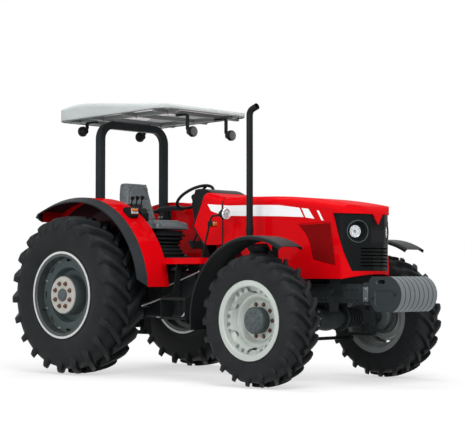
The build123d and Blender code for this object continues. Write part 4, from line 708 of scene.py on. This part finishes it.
def dress_wheel(end, side_name, side):
    """Studs, bolts, hub end and valve of a wheel."""
    x, y, z = (RA, REAR_Y, REAR_Z) if end == "rear" else (FA, FRONT_Y, FRONT_Z)
    wheel = f"{end}_{side_name}"
    axis = (0, side, 0)

    def face(out, ahead=0.0, up=0.0):
        return Vector((x + ahead, side * (y + out), z + up))

    def add(piece, shape, material, node):
        make_piece(f"{piece}_{wheel}", shape, material, f"wheel_{wheel}", f"{node}_{wheel}")

    eighths = every(8, 22.5)
    if end == "rear":
        studs = [bolt_ring(face(0.182), axis, STUD_CIRCLE, eighths, 0.021)]
        for angle in eighths:
            foot = face(0.198) + spoke(angle, STUD_CIRCLE)
            studs.append(turned([(0, 0.010), (0.012, 0.010), (0.015, 0.007)], foot, axis, 12))
        add("studs", studs, "copper", "hub")
        add("hub_cap", turned(HUB_CAP, face(0), axis, 32), "hub_grey", "hub")
        add("disc_bolts", bolt_ring(face(0.110), axis, 0.350, eighths, 0.016), "zinc", "disc")
    else:
        add("studs", bolt_ring(face(0), axis, 0.142, every(10), 0.018), "copper", "disc")
        lobe_angles = [a + d for a in every(6) for d in (-7, 7)]
        add("lobe_bolts", bolt_ring(face(0.098), axis, 0.270, lobe_angles, 0.015), "zinc", "disc")
        hub = [bolt_ring(face(0.096), axis, 0.072, eighths, 0.012)]
        hub.append(turned([(0.094, 0.034), (0.101, 0.034), (0.106, 0.026), (0.107, 0.012)], face(0), axis, 24))
        hub.append(band(0.006, 0.1105, 0.1165, face(0.066), axis))
        add("hub_end", hub, "hub_grey", "hub")
    stem = [face(*point) for point in VALVES[end]]
    add("valve", tube(stem, 0.006 if end == "rear" else 0.005, 10), "plastic", "rim")


for side_name, side in SIDES:
    for end in ("front", "rear"):
        make_tyre(end, side_name, side)
    for end in ("rear", "front"):
        dress_wheel(end, side_name, side)


# Hood and cowl

NOSE_X = WHEELBASE + 0.605
STRIPE_TOP = ((1.494, 1.606), (1.565, 1.600), (1.90, 1.594), (2.174, 1.584), (2.416, 1.552))
STRIPE_LOW = ((1.494, 1.514), (1.58, 1.504), (1.90, 1.493), (2.173, 1.484), (2.466, 1.468))
COWL_STRIPE = (((1.285, 1.622), (1.468, 1.608)), ((1.335, 1.556), (1.468, 1.517)))
STRIPE_BLOCK = (((2.442, 1.549), (2.520, 1.539)), ((2.487, 1.465), (2.589, 1.449)))
STRIPE_BAR = (((2.614, 1.523), (2.640, 1.519)), ((2.668, 1.435), (2.693, 1.431)))


RECESS_REAR = smooth_path([at(WHEELBASE - 0.030, 0, 1.398), at(WHEELBASE + 0.071, 0, 1.284),
                           at(WHEELBASE + 0.131, 0, 1.095)], 6)
RECESS_LINES = (  # rear and front edges of the mesh in the hood's side, from the top down
    [(p.x - RA, p.z) for p in RECESS_REAR],
    [(WHEELBASE + 0.322, 1.408), (WHEELBASE + 0.376, 1.043)],
)

for side_name, side in SIDES:
    stripes = [skin("hood_shell", STRIPE_TOP, STRIPE_LOW, side, 40, 6),
               skin("hood_shell", *STRIPE_BLOCK, side, 6, 6), skin("hood_shell", *STRIPE_BAR, side, 3, 6)]
    make_piece(f"hood_stripe_{side_name}", stripes, "white", "hood", "hood_shell")
    fixed(f"cowl_stripe_{side_name}", skin("rear_cowl", *COWL_STRIPE, side, 10, 6), "white", "rear_cowl")
    # Painted shade: a dark red sheet laid on the hood's side where the recess is
    sheet = skin("hood_shell", *RECESS_LINES, side, 14, 14, thick=0.003)
    make_piece(f"recess_mesh_{side_name}", sheet, "recess_sheet_painted_shade", "hood", "hood_shell", bevel=0.001)


def section_path(x, half, top, low, corner):
    """A line over the hood's section at x, from the right foot to the left."""
    points = [at(x, -half, low), at(x, -half, top - corner - 0.02)]
    for k in range(7):
        turn = math.pi / 2 * k / 6
        points.append(at(x, -half + corner - corner * math.cos(turn), top - corner + corner * math.sin(turn)))
    return points + [Vector((p.x, -p.y, p.z)) for p in points[::-1]]


seal = tube(section_path(1.477, 0.326, 1.676, 1.245, 0.07), 0.005, 8)
fixed("hood_seal", seal, "soft_rubber", "rear_cowl")


def cowl_edge(z):
    """How far forward the cowl's rear edge is at a height."""
    return 1.095 + (z - 1.42) * (0.155 / 0.315 if z > 1.42 else -0.145 / 0.18)


trim = []
for side in (1, -1):
    line = [at(cowl_edge(z), side * 0.326, z) for z in (1.245, 1.33, 1.40, 1.42, 1.44, 1.52, 1.60, 1.66)]
    line += [at(cowl_edge(1.70), side * 0.310, 1.70), at(cowl_edge(1.726), side * 0.275, 1.726)]
    trim.append(tube(smooth_path(line, 4), 0.011, 10))
fixed("cowl_trim", trim, "plastic", "rear_cowl")

backing = []
for i in range(13):
    y = -0.24 + 0.04 * i
    x = NOSE_X + 0.002 - 0.155 * (y / 0.33) ** 2 - 0.056
    backing += [at(x, y, 1.000), at(x, y, 1.230), at(x - 0.004, y, 1.230), at(x - 0.004, y, 1.000)]
make_piece("grille_backing", (backing, ring_faces(13, 4)), "grille", "hood", "grille")


# Lamps

LAMP_PARTS = (  # part, sides, whether it is a ring, profile as (distance out, share of the lamp's radius)
    ("bezel", 40, True, ((-0.002, 1), (0.006, 0.99), (0.010, 0.93), (0.009, 0.86), (-0.002, 0.86))),
    ("reflector", 40, False, ((0.0004, 0.85), (0.0050, 0.85), (0.0034, 0.6), (0.0022, 0.3), (0.0050, 0.16),
                              (0.0055, 0.08))),
    ("bulb_shield", 24, False, ((0.0054, 0.26), (0.0059, 0.26), (0.0061, 0.18))),
    ("lens", 40, False, ((0.0062, 0.85), (0.0085, 0.85), (0.0115, 0.6), (0.0130, 0.3), (0.0134, 0.05))),
)


def lamp_front(name, centre, axis, radius, body, slot, bezel, lens):
    """A round lamp face: a bezel ring, a dished reflector, the bulb's shield and a domed lens."""
    for (part, count, loop, profile), material in zip(LAMP_PARTS, (bezel, "mirror", "hub_grey", lens)):
        shape = turned([(out, radius * share) for out, share in profile], centre, axis, count, loop)
        make_piece(f"{name}_{part}", shape, material, body, slot)


LAMP_TURN = math.radians(25)
POCKET_RIM = 0.095
LENS_BEVEL, PLATE_BEVEL = 0.0015, 0.001
ROUND_LAMPS = (  # name, place, which way it looks, radius, slot, bezel, lens
    ("front_work_lamp", (1.041, 0.270, 2.330), 1, 0.050, "work_lamps", "plastic", "smoke"),
    ("rear_work_lamp", (-0.431, 0.400, 2.420), -1, 0.050, "work_lamps", "plastic", "smoke"),
    ("side_lamp", (1.675, 0.490, 1.515), 1, 0.053, "side_lamps", "mirror", "lens"),
)

for side_name, side in SIDES:
    look = Vector((math.cos(LAMP_TURN), side * math.sin(LAMP_TURN), 0))
    outboard = Vector((-math.sin(LAMP_TURN), side * math.cos(LAMP_TURN), 0))
    pocket = at(NOSE_X - 0.078, side * 0.205, 1.335) - look * 0.0150
    lamp_front(f"headlamp_{side_name}", pocket + outboard * 0.020, look, 0.056, "hood", "headlamps", "mirror", "lens")
    rim = []
    for angle in every(48):
        turn = math.radians(angle)
        offset = (outboard * math.cos(turn) + Vector((0, 0, math.sin(turn)))) * POCKET_RIM
        rim.append(touch("grille", pocket + look * 0.30 + offset, -look)[0])
    make_piece(f"headlamp_rim_{side_name}", tube(rim, 0.0035, 8, closed=True), "hub_grey", "hood", "headlamps")
    for name, (x, y, z), way, radius, slot, bezel, lens in ROUND_LAMPS:
        lamp_front(f"{name}_{side_name}", at(x, side * y, z), (way, 0, 0), radius, "chassis", slot, bezel, lens)


def ribbed_lens(centre, size, ribs):
    """A flat lens with raised ribs, spread along Y."""
    deep, wide, high = size
    groups = [slab(centre, size)]
    for i in range(ribs):
        middle = Vector(centre) + Vector((0, wide * (0.9 * (i + 0.5) / ribs - 0.45), 0))
        groups.append(slab(middle, (deep + 0.003, wide * 0.45 / ribs, high * 0.9)))
    return merge(groups)


FENDER_LAMP_Y = 0.650
FLAT_LENSES = (  # name, material, slot, place, size, ribs
    ("turn_lenses", "amber", "side_lamps", (1.543, 0.499, 1.427), (0.010, 0.050, 0.040), 5),
    ("fender_lamp_lenses", "lens", "fender_lamps", (0.631, FENDER_LAMP_Y, 1.552), (0.010, 0.080, 0.024), 6),
    ("fender_lamp_turn_lenses", "amber", "fender_lamps", (0.631, FENDER_LAMP_Y, 1.579), (0.010, 0.080, 0.022), 6),
    ("fender_lamp_backs", "mirror", "fender_lamps", (0.6285, FENDER_LAMP_Y, 1.565), (0.004, 0.088, 0.058), 0),
    ("fender_lamp_rear_lenses", "tail", "fender_lamps", (0.517, FENDER_LAMP_Y, 1.580), (0.010, 0.080, 0.040), 6),
)
for name, material, slot, (x, y, z), size, ribs in FLAT_LENSES:
    lenses = [ribbed_lens(at(x, side * y, z), size, ribs) for _, side in SIDES]
    fixed(name, lenses, material, slot, bevel=LENS_BEVEL if ribs else PLATE_BEVEL)

housings, reds, ambers = [], [], []
for side_name, side in SIDES:
    place, _ = touch(f"rear_fender_{side_name}", at(-1.2, side * 0.62, 1.555), (1, 0, 0))
    housings.append(slab(place + Vector((-0.016, 0, 0)), (0.036, 0.170, 0.074)))
    reds.append(ribbed_lens(place + Vector((-0.037, -side * 0.036, 0)), (0.010, 0.084, 0.060), 6))
    ambers.append(ribbed_lens(place + Vector((-0.037, side * 0.046, 0)), (0.010, 0.066, 0.060), 5))
fixed("tail_lamp_housings", housings, "plastic", "fender_lamps", bevel=0.008, segments=3)
fixed("tail_lamp_lenses", reds, "tail", "fender_lamps", bevel=LENS_BEVEL)
fixed("tail_turn_lenses", ambers, "amber", "fender_lamps", bevel=LENS_BEVEL)


# Dash, wheel and pedals

DASH_FACE = Vector((-0.941, 0, 0.339))
DASH_UP = Vector((0.339, 0, 0.941))


def dash_at(y, up, out=0.0):
    return at(0.9775, y, 1.7025) + DASH_UP * up + DASH_FACE * out


def gauge(y, up, radius, needle):
    """A round gauge: its raised ring, and the ticks and needle over its dark dial."""
    centre = dash_at(y, up)
    ring = turned([(-0.004, radius), (0.010, radius), (0.013, radius * 0.95), (0.011, radius * 0.88),
                   (-0.004, radius * 0.88)], centre, DASH_FACE, 36, loop=True)
    marks = []
    bars = [(-40 + 26 * i, 0.74, 0.002, 0.16, 0.0022) for i in range(11)] + [(needle, 0.3, 0.005, 0.66, 0.003)]
    for angle, reach, height, length, width in bars:
        turn = math.radians(angle)
        out = Vector((0, -math.cos(turn), 0)) + DASH_UP * math.sin(turn)
        spin = Matrix((out, DASH_FACE.cross(out), DASH_FACE)).transposed()
        place = centre + out * radius * reach + DASH_FACE * height
        marks.append(slab(place, (radius * length, width, 0.002), spin))
    return ring, merge(marks)


DASH_TURN = Matrix((DASH_FACE, Vector((0, 1, 0)), DASH_UP)).transposed()
rings, marks = [], []
for y, up, radius, needle in ((0, 0.018, 0.050, 120), (0.112, 0.016, 0.036, 70), (-0.112, 0.016, 0.036, 100)):
    ring, mark = gauge(y, up, radius, needle)
    rings.append(ring)
    marks.append(mark)
keys = [slab(dash_at(-0.110 + 0.044 * i, -0.050, 0.003), (0.014, 0.026, 0.016), DASH_TURN) for i in range(6)]
fixed("gauge_rings", rings, "zinc", "dash_console")
fixed("gauge_marks", marks, "white", "dash_console")
fixed("dash_switches", keys, "soft_rubber", "dash_console", bevel=0.003, segments=2)

STEER_TILT = math.radians(33)
STEER_AXIS = Vector((-math.sin(STEER_TILT), 0, math.cos(STEER_TILT)))
cap = turned([(0.013, 0.036), (0.018, 0.036), (0.023, 0.030), (0.025, 0.014), (0.0255, 0.004)],
             at(0.800, 0, 1.722), STEER_AXIS, 32)
make_piece("wheel_cap", cap, "soft_rubber", "steering_wheel", "steering_wheel")

PEDAL_TILT = Matrix.Rotation(math.radians(-35), 3, "Y")
arms, pads = [], []
for y in (0.165, -0.085, -0.175):
    line = [at(x, y, z) for x, z in ((1.050, 1.385), (1.000, 1.352), (0.965, 1.305), (0.945, 1.265))]
    arms.append(tube(smooth_path(line, 5), 0.009, 10))
    centre = at(0.936, y, 1.250)
    pads.append(slab(centre, (0.012, 0.076, 0.090), PEDAL_TILT))
    for k in range(5):
        rib = centre + PEDAL_TILT @ Vector((-0.008, 0, -0.034 + 0.017 * k))
        pads.append(slab(rib, (0.006, 0.066, 0.006), PEDAL_TILT))
fixed("pedal_arms", arms, "black_paint", "dash_console")
fixed("pedal_pads", pads, "soft_rubber", "dash_console", bevel=0.0015)


# Seat

VOXEL = 0.006
SWELL_FRAMES = 20
SWELL_PRESSURE = 4.0
SWELL_STIFFNESS = 40.0
SWELL_CAP = 0.024  # the most that a point may move
CHANNEL_DEEP, CHANNEL_WIDE = 0.009, 0.011  # of the sewn lines


def apply_modifiers(pad):
    """Keeps the shape that the modifiers give, and drops them."""
    graph = bpy.context.evaluated_depsgraph_get()
    mesh = bpy.data.meshes.new_from_object(pad.evaluated_get(graph))
    pad.modifiers.clear()
    pad.data = mesh


def soften(pad, passes):
    built = bmesh.new()
    built.from_mesh(pad.data)
    for _ in range(passes):
        bmesh.ops.smooth_vert(built, verts=built.verts, factor=0.5, use_axis_x=True, use_axis_y=True, use_axis_z=True)
    built.to_mesh(pad.data)
    built.free()


def soft_form(node, name, shrink, rests):
    """A padded copy of a node, drawn in by shrink, swollen by Blender's cloth and smoothed; what rests stays still."""
    low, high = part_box(node)
    middle, size = (low + high) / 2, high - low
    mesh = frame["nodes"][node].data.copy()
    mesh.name = name
    for vertex in mesh.vertices:
        for k in range(3):
            vertex.co[k] = middle[k] + (vertex.co[k] - middle[k]) * (1 - 2 * shrink[k] / size[k])
    pad = new_object(name, mesh)
    remesh = pad.modifiers.new("remesh", "REMESH")
    remesh.mode, remesh.voxel_size = "VOXEL", VOXEL
    apply_modifiers(pad)
    soften(pad, 4)
    start = [v.co.copy() for v in pad.data.vertices]
    held = pad.vertex_groups.new(name="held")
    held.add([v.index for v in pad.data.vertices if rests(v.co, low)], 1.0, "REPLACE")
    cloth = pad.modifiers.new("swell", "CLOTH")
    cloth.settings.use_pressure = True
    cloth.settings.uniform_pressure_force = SWELL_PRESSURE
    cloth.settings.effector_weights.gravity = 0.0
    cloth.settings.vertex_group_mass = "held"
    cloth.settings.tension_stiffness = SWELL_STIFFNESS
    cloth.settings.compression_stiffness = SWELL_STIFFNESS
    for number in range(1, SWELL_FRAMES + 1):
        bpy.context.scene.frame_set(number)
    apply_modifiers(pad)
    bpy.context.scene.frame_set(1)
    for vertex, was in zip(pad.data.vertices, start):
        moved = vertex.co - was
        if moved.length > SWELL_CAP:
            vertex.co = was + moved * (SWELL_CAP / moved.length)
    soften(pad, 2)
    return pad


def near_line(point, line):
    """How far a flat point is from a line of points."""
    best = 10.0
    for a, b in zip(line, line[1:]):
        span = b - a
        share = max(0.0, min(1.0, (point - a).dot(span) / span.length_squared))
        best = min(best, (point - a - span * share).length)
    return best


def sew(pad, flat, lines, facing):
    """Presses sewn channels into the side that faces a direction; flat gives a point's place on the pattern."""
    lines = [[Vector(p) for p in line] for line in lines]
    pad.data.update()
    normals = [v.normal.copy() for v in pad.data.vertices]
    for vertex, normal in zip(pad.data.vertices, normals):
        if normal.dot(facing) > 0.25:
            gap = min(near_line(flat(vertex.co), line) for line in lines)
            if gap < 3 * CHANNEL_WIDE:
                vertex.co -= normal * CHANNEL_DEEP * math.exp(-(gap / CHANNEL_WIDE) ** 2)


def finish_pad(pad, node):
    pad.data.materials.clear()
    pad.data.materials.append(MAT["vinyl"])
    pad.data.shade_smooth()
    pad.modifiers.new("smooth", "SUBSURF").levels = 1
    pad.modifiers["smooth"].render_levels = 1
    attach(pad, "chassis")
    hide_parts(node)


cushion = soft_form("seat_cushion", "seat_cushion_pad", (0.012, 0.012, 0.010), lambda p, low: p.z < low.z + 0.020)
cushion_lines = [
    [(0.085, 0.172), (0.42, 0.172), (0.465, 0.120), (0.465, -0.120), (0.42, -0.172), (0.085, -0.172)],
    [(0.200, 0.172), (0.200, -0.172)],
    [(0.315, 0.172), (0.315, -0.172)],
]
sew(cushion, lambda p: Vector((p.x - RA, p.y)), cushion_lines, Vector((0, 0, 1)))
finish_pad(cushion, "seat_cushion")
backrest = soft_form("seat_back", "seat_back_pad", (0.010, 0.012, 0.012), lambda p, low: p.x < low.x + 0.030)
back_lines = [
    [(0.168, 1.47), (0.150, 1.62), (0.115, 1.80), (0.060, 1.860), (-0.060, 1.860), (-0.115, 1.80), (-0.150, 1.62),
     (-0.168, 1.47)],
    [(0.150, 1.61), (-0.150, 1.61)],
    [(0.130, 1.73), (-0.130, 1.73)],
]
sew(backrest, lambda p: Vector((p.y, p.z)), back_lines, Vector((1, 0, 0)))
finish_pad(backrest, "seat_back")

armrests, pivots = [], []
for side in (1, -1):
    line = [at(-0.035, side * 0.285, 1.605), at(0.02, side * 0.288, 1.632), at(0.14, side * 0.290, 1.640),
            at(0.27, side * 0.290, 1.640), at(0.34, side * 0.290, 1.630)]
    armrests.append(tube(smooth_path(line, 6), 0.026, 16))
    pivots.append(turned([(-0.02, 0.018), (0.055, 0.018), (0.060, 0.014)], at(-0.030, side * 0.205, 1.608),
                         (0, side, 0), 20))
fixed("armrests", armrests, "soft_rubber", "seat_back", bevel=0.010, segments=3)
fixed("armrest_pivots", pivots, "black_paint", "seat_back")

folds = []
for i in range(6):
    z = 1.165 + 0.190 * (i / 5)
    waist = max(1 - abs(z - 1.2585) / 0.1015, 0)
    outline = rounded_rectangle(0.210 - 0.045 * waist + 0.004, 0.200 - 0.040 * waist + 0.004, 0.045)
    ring = [at(0.260 + x, y, z) for x, y in outline]
    folds.append(tube(ring, 0.011, 8, closed=True))
fixed("seat_bellows", folds, "soft_rubber", "seat_base")

BOOT = ((-0.002, 0.026), (0.004, 0.026), (0.008, 0.020), (0.013, 0.023), (0.018, 0.016), (0.023, 0.019), (0.028, 0.012),
        (0.034, 0.013), (0.040, 0.009))
boots = [turned(BOOT, at(x, -0.4547, 1.605), (0.18, 0, 0.98), 20) for x in (0.350, 0.420, 0.490)]
fixed("lever_boots", boots, "soft_rubber", "control_levers")


# Platform, steps, roll bar and canopy

mat = [slab(at(0.790, 0, 1.1203), (0.580, 0.880, 0.006))]
mat += [slab(at(0.520 + 0.030 * i, 0, 1.1250), (0.012, 0.840, 0.005)) for i in range(19)]
fixed("floor_mat", mat, "soft_rubber", "platform", bevel=0.0015)

grips = []
for y, z in ((0.730, 0.748), (0.740, 0.572)):
    for row in (-0.057, -0.019, 0.019, 0.057):
        for i in range(10):
            foot = at(1.299 - 0.130 + 0.0289 * i, y + row, z - 0.001)
            grips.append(turned([(0, 0.007), (0.004, 0.0065), (0.006, 0.004)], foot, (0, 0, 1), 8))
fixed("step_grips", both(grips), "black_paint", "steps")

fixings = [bolt(at(x, 0.4025, z), (0, -1, 0), 0.012) for z in (1.560, 1.640) for x in (-0.120, -0.080)]
plate = slab(at(-0.100, 0.4885, 1.600), (0.120, 0.0215, 0.140))
fixed("roll_bar_plates", both(plate), "charcoal", "rops_frame", bevel=0.003)
fixed("roll_bar_bolts", both(fixings), "zinc", "rops_frame")

edge = [at(0.190 + x, y, 2.530 + 0.024 * x / 1.56) for x, y in rounded_rectangle(0.773, 0.593, 0.103, 8)]
fixed("roof_edge_bead", tube(edge, 0.008, 8, closed=True), "rail", "canopy_roof")
ROOF_BOLTS = [(x, y) for x in (-0.450, -0.100, 0.380, 0.825) for y in (0.400, -0.400)]
ROOF_CAP = ((0, 0.022), (0.002, 0.022), (0.003, 0.012), (0.009, 0.010), (0.011, 0.006))
caps = [turned(ROOF_CAP, *touch("canopy_roof", at(x, y, 3.0), (0, 0, -1)), 20) for x, y in ROOF_BOLTS]
fixed("roof_bolts", caps, "zinc", "canopy_roof")
heads = [bolt(at(x, y, 2.510), (0, 0, -1), 0.012) for x, y in ROOF_BOLTS]
fixed("roof_frame_bolts", heads, "zinc", "canopy_frame")

rivets = []
for side_name, side in SIDES:
    for angle in range(10, 84, 8):
        out = spoke(angle, 1.0)
        place, normal = touch("fender_flares", Vector((RA, side * 0.786, REAR_Z)) + out * 1.3, -out)
        rivets.append(turned([(-0.001, 0.010), (0.002, 0.0095), (0.004, 0.006)], place, normal, 14))
fixed("flare_rivets", rivets, "soft_rubber", "fender_flares")


# Frame, axles and weights

FRAME_BOLTS = (-0.010, 0.055, 0.180, 0.225, 0.450, 0.505, 0.560)
bolts = [bolt(at(WHEELBASE + x, 0.250, z), (0, 1, 0), 0.013) for x in FRAME_BOLTS for z in (0.755, 0.845)]
fixed("frame_bolts", both(bolts), "cast", "front_support")
plate = slab(at(WHEELBASE + 0.660, 0.2685, 0.795), (0.054, 0.007, 0.125))
fixed("bracket_plates", both(plate), "plate", "front_support", bevel=0.002)
bolts = [bolt(at(WHEELBASE + 0.660, 0.272, z), (0, 1, 0), 0.011) for z in (0.755, 0.835)]
fixed("bracket_bolts", both(bolts), "zinc", "front_support")
ties = [bolt(at(WHEELBASE + x, 0.260, z), (0, 1, 0), 0.017) for x, z in ((0.735, 0.770), (0.965, 0.800))]
fixed("weight_tie_bolts", both(ties), "cast", "front_weights")

KNUCKLE_CAP = ((0, 0.046), (0.008, 0.046), (0.012, 0.040), (0.013, 0.012))
flanges, bolts = [], []
for side in (1, -1):
    axis = (0, side, 0)
    flanges.append(band(0.009, 0.070, 0.122, (FA, side * 0.190, FRONT_Z), axis))
    bolts.append(bolt_ring((FA, side * 0.199, FRONT_Z), axis, 0.104, every(10), 0.011))
    bolts.append(bolt_ring((RA, side * 0.225, REAR_Z), axis, 0.148, every(12, 15), 0.014))
    for i in range(6):
        flanges.append(band(0.005, 0.055, 0.096 - 0.002 * i, (FA, side * (0.245 + 0.040 * i), FRONT_Z), axis))
    for way in (1, -1):
        flanges.append(turned(KNUCKLE_CAP, (FA, side * 0.680, FRONT_Z + way * 0.140), (0, 0, way), 28))
fixed("axle_flanges", flanges, "cast", "front_axle_beam")
fixed("axle_bolts", bolts, "zinc", "front_axle_beam")

ROD_OUT = 0.300
RODS = (  # places along each rod as (x, z); its ends turn in to the case
    ((0.330, 0.648), (0.360, 0.656), (0.500, 0.693), (0.634, 0.729), (0.830, 0.731), (1.037, 0.732), (1.180, 0.732),
     (1.210, 0.732)),
    ((0.547, 0.552), (0.577, 0.552), (0.740, 0.555), (0.900, 0.557), (0.962, 0.605), (1.024, 0.685), (1.060, 0.700),
     (1.080, 0.700)),
)
LEVER_ROD = ((0.727, 0.858), (0.850, 0.897), (1.000, 0.945), (1.130, 0.986), (1.160, 0.995))
rods, levers, pins = [], [], []


def on_case(x, z, side):
    """A point just inside the case's side."""
    place, _ = touch_side("transmission_case", x, z, side)
    return place - Vector((0, side * 0.010, 0))


for side in (1, -1):
    for (first, *run, last) in RODS:
        line = [on_case(*first, side), *(at(x, side * ROD_OUT, z) for x, z in run), on_case(*last, side)]
        rods.append(tube(smooth_path(line, 5), 0.008, 10))
    rods.append(tube([on_case(0.548, 0.857, side), at(0.548, side * ROD_OUT, 0.857)], 0.013, 14))
    line = [*(at(x, side * ROD_OUT, z) for x, z in LEVER_ROD), on_case(1.190, 0.995, side)]
    rods.append(tube(smooth_path(line, 5), 0.008, 10))
    levers.append(slab(at(0.6375, side * ROD_OUT, 0.8575), (0.215, 0.014, 0.036)))
    pins += [bolt(at(x, side * (ROD_OUT + 0.007), 0.8575), (0, side, 0), 0.013) for x in (0.548, 0.727)]
fixed("linkage_rods", rods, "steel", "transmission_case")
fixed("linkage_levers", levers, "black_paint", "transmission_case", bevel=0.004, segments=2)
fixed("linkage_pins", pins, "zinc", "transmission_case")

FILTER = ((-0.010, 0.040), (0.012, 0.040), (0.014, 0.052), (0.028, 0.052), (0.032, 0.046), (0.095, 0.046),
          (0.108, 0.040), (0.112, 0.020))
filters = []
for x, z, side in ((1.700, 0.900, -1), (1.680, 0.930, 1)):
    place, _ = touch_side("engine_block", x, z, side)
    filters.append(turned(FILTER, place, (0, side, 0), 32))
fixed("engine_filters", filters, "plastic", "engine_block")

EXHAUST_X = 1.940
flange = turned([(0, 0.058), (0.012, 0.058), (0.014, 0.054), (0.014, 0.0305), (0, 0.0305)],
                at(EXHAUST_X, -0.222, 1.180), (0, -1, 0), 32, loop=True)
bolts = bolt_ring(at(EXHAUST_X, -0.236, 1.180), (0, -1, 0), 0.045, every(4, 45), 0.009)
fixed("exhaust_flange", [flange, bolts], "cast", "exhaust_pipe")
bands = [band(0.008, 0.0300, 0.0335, at(EXHAUST_X, -0.460, z), (0, 0, 1), 32) for z in (1.330, 1.390)]
fixed("exhaust_bands", bands, "black_paint", "exhaust_pipe")


# Rear

CASE_REAR = -0.230
COUPLER = ((0, 0.017), (0.014, 0.017), (0.016, 0.013), (0.040, 0.013), (0.042, 0.016), (0.060, 0.016))
COUPLER_CAP = ((0.058, 0.018), (0.064, 0.018), (0.068, 0.014), (0.069, 0.006))
TOP_LINK = at(-0.290, 0, 0.880)
COVER_BOLTS = [(y, z) for z in (0.560, 0.760, 0.960) for y in (-0.178, 0.178)] + [(-0.080, 0.548), (0.080, 0.548)]

guard = [slab(at(-0.3052, 0, 0.735), (0.150, 0.250, 0.008))]
guard += [slab(at(-0.3052, side * 0.121, 0.690), (0.150, 0.008, 0.090)) for _, side in SIDES]
fixed("pto_guard", guard, "black_paint", "transmission_case", bevel=0.003)
feet = [at(CASE_REAR, y, 0.985) for y in (-0.135, -0.095, 0.095, 0.135)]
couplers = [turned(COUPLER, foot, (-1, 0, 0), 20) for foot in feet]
fixed("couplers", couplers, "steel", "transmission_case")
ends = [turned(COUPLER_CAP, foot, (-1, 0, 0), 20) for foot in feet]
fixed("coupler_caps", ends, "tail", "transmission_case")
pins = [turned([(-0.062, 0.0122), (0.062, 0.0122), (0.066, 0.009)], TOP_LINK, (0, 1, 0), 20),
        turned([(-0.076, 0.020), (-0.062, 0.020)], TOP_LINK, (0, 1, 0), 20)]
fixed("top_link_pin", pins, "steel", "transmission_case")
cover = [bolt(at(CASE_REAR, y, z), (-1, 0, 0), 0.012) for y, z in COVER_BOLTS]
fixed("case_cover_bolts", cover, "zinc", "transmission_case")


# Stage and camera

FLOOR_HALF = 60.0
WORLD_LIGHT = 0.36


def seen(graph):
    """1 for rays that show the stage in the picture, and 0 for those that light the object."""
    light = graph.add("LightPath")
    either = graph.math("MAXIMUM", light.outputs["Is Camera Ray"], light.outputs["Is Glossy Ray"])
    return graph.math("MAXIMUM", either, light.outputs["Is Transmission Ray"])


def make_floor():
    """A pale floor that stays near white to the camera and keeps the object's shadow."""
    mesh = bpy.data.meshes.new("floor")
    corners = [(x * FLOOR_HALF, y * FLOOR_HALF, 0) for x, y in ((-1, -1), (1, -1), (1, 1), (-1, 1))]
    mesh.from_pydata(corners, [], [[0, 1, 2, 3]])
    floor = new_object("floor", mesh)
    graph = Graph("floor_white")
    pale = graph.mix(graph.remap(graph.noise(0.6, 3.0, 0.5), *NOISE_RANGE), (0.88, 0.88, 0.88), (0.91, 0.91, 0.91))
    graph.surface(Base_Color=pale, Roughness=0.9, Specular_IOR_Level=0.1)
    glow = graph.feed(graph.add("Emission"), Color=(1, 1, 1))
    reach = graph.add("VectorMath", operation="LENGTH")
    graph.put(reach.inputs[0], graph.place)
    white = graph.remap(reach.outputs["Value"], 2.2, 5.5, 0.60, 1.0)
    blend = graph.add("MixShader")
    outputs = (graph.math("MULTIPLY", seen(graph), white), graph.shader.outputs["BSDF"], glow.outputs["Emission"])
    for socket, output in zip(blend.inputs, outputs):
        graph.put(socket, output)
    graph.put(graph.tree.nodes["Material Output"].inputs["Surface"], blend.outputs["Shader"])
    mesh.materials.append(graph.block)


def make_world():
    """A white surround for the camera and soft even light for the object."""
    graph = Graph("studio", "worlds", "Background")
    graph.surface(Color=(1, 1, 1), Strength=graph.remap(seen(graph), 0.0, 1.0, WORLD_LIGHT, 1.0))
    bpy.context.scene.world = graph.block


def make_light(name, place, target, size, power, glints=True):
    lamp = bpy.data.lights.new(name, "AREA")
    lamp.shape = "RECTANGLE"
    lamp.size, lamp.size_y = size
    lamp.energy = power
    lamp_object = new_object(name, lamp)
    lamp_object.location = place
    lamp_object.visible_glossy = glints
    lamp_object.rotation_euler = (Vector(target) - Vector(place)).to_track_quat("-Z", "Y").to_euler()


def make_camera():
    camera = bpy.data.cameras.new("camera")
    camera.sensor_fit = "HORIZONTAL"
    camera.sensor_width = SENSOR_WIDTH
    camera.lens = FOCAL_PIXELS * SENSOR_WIDTH / IMAGE_WIDTH
    camera_object = new_object("camera", camera)
    camera_object.location = CAMERA_AT
    camera_object.rotation_euler = (math.radians(90 + CAMERA_PITCH), 0, math.radians(CAMERA_YAW))
    bpy.context.scene.camera = camera_object


make_floor()
make_world()
make_light("key", (6.5, -4.0, 7.0), (0, 0, 1.0), (5.0, 4.0), 640)
make_light("fill", (1.0, -9.0, 3.5), (0, 0, 1.0), (6.0, 3.0), 260)
make_light("top", (-1.0, 0.0, 8.0), (0, 0, 1.0), (6.0, 6.0), 300)
make_light("back", (-6.0, 5.0, 5.0), (0, 0, 1.2), (4.0, 3.0), 260, glints=False)
make_camera()
bpy.context.scene.view_settings.view_transform = "Standard"
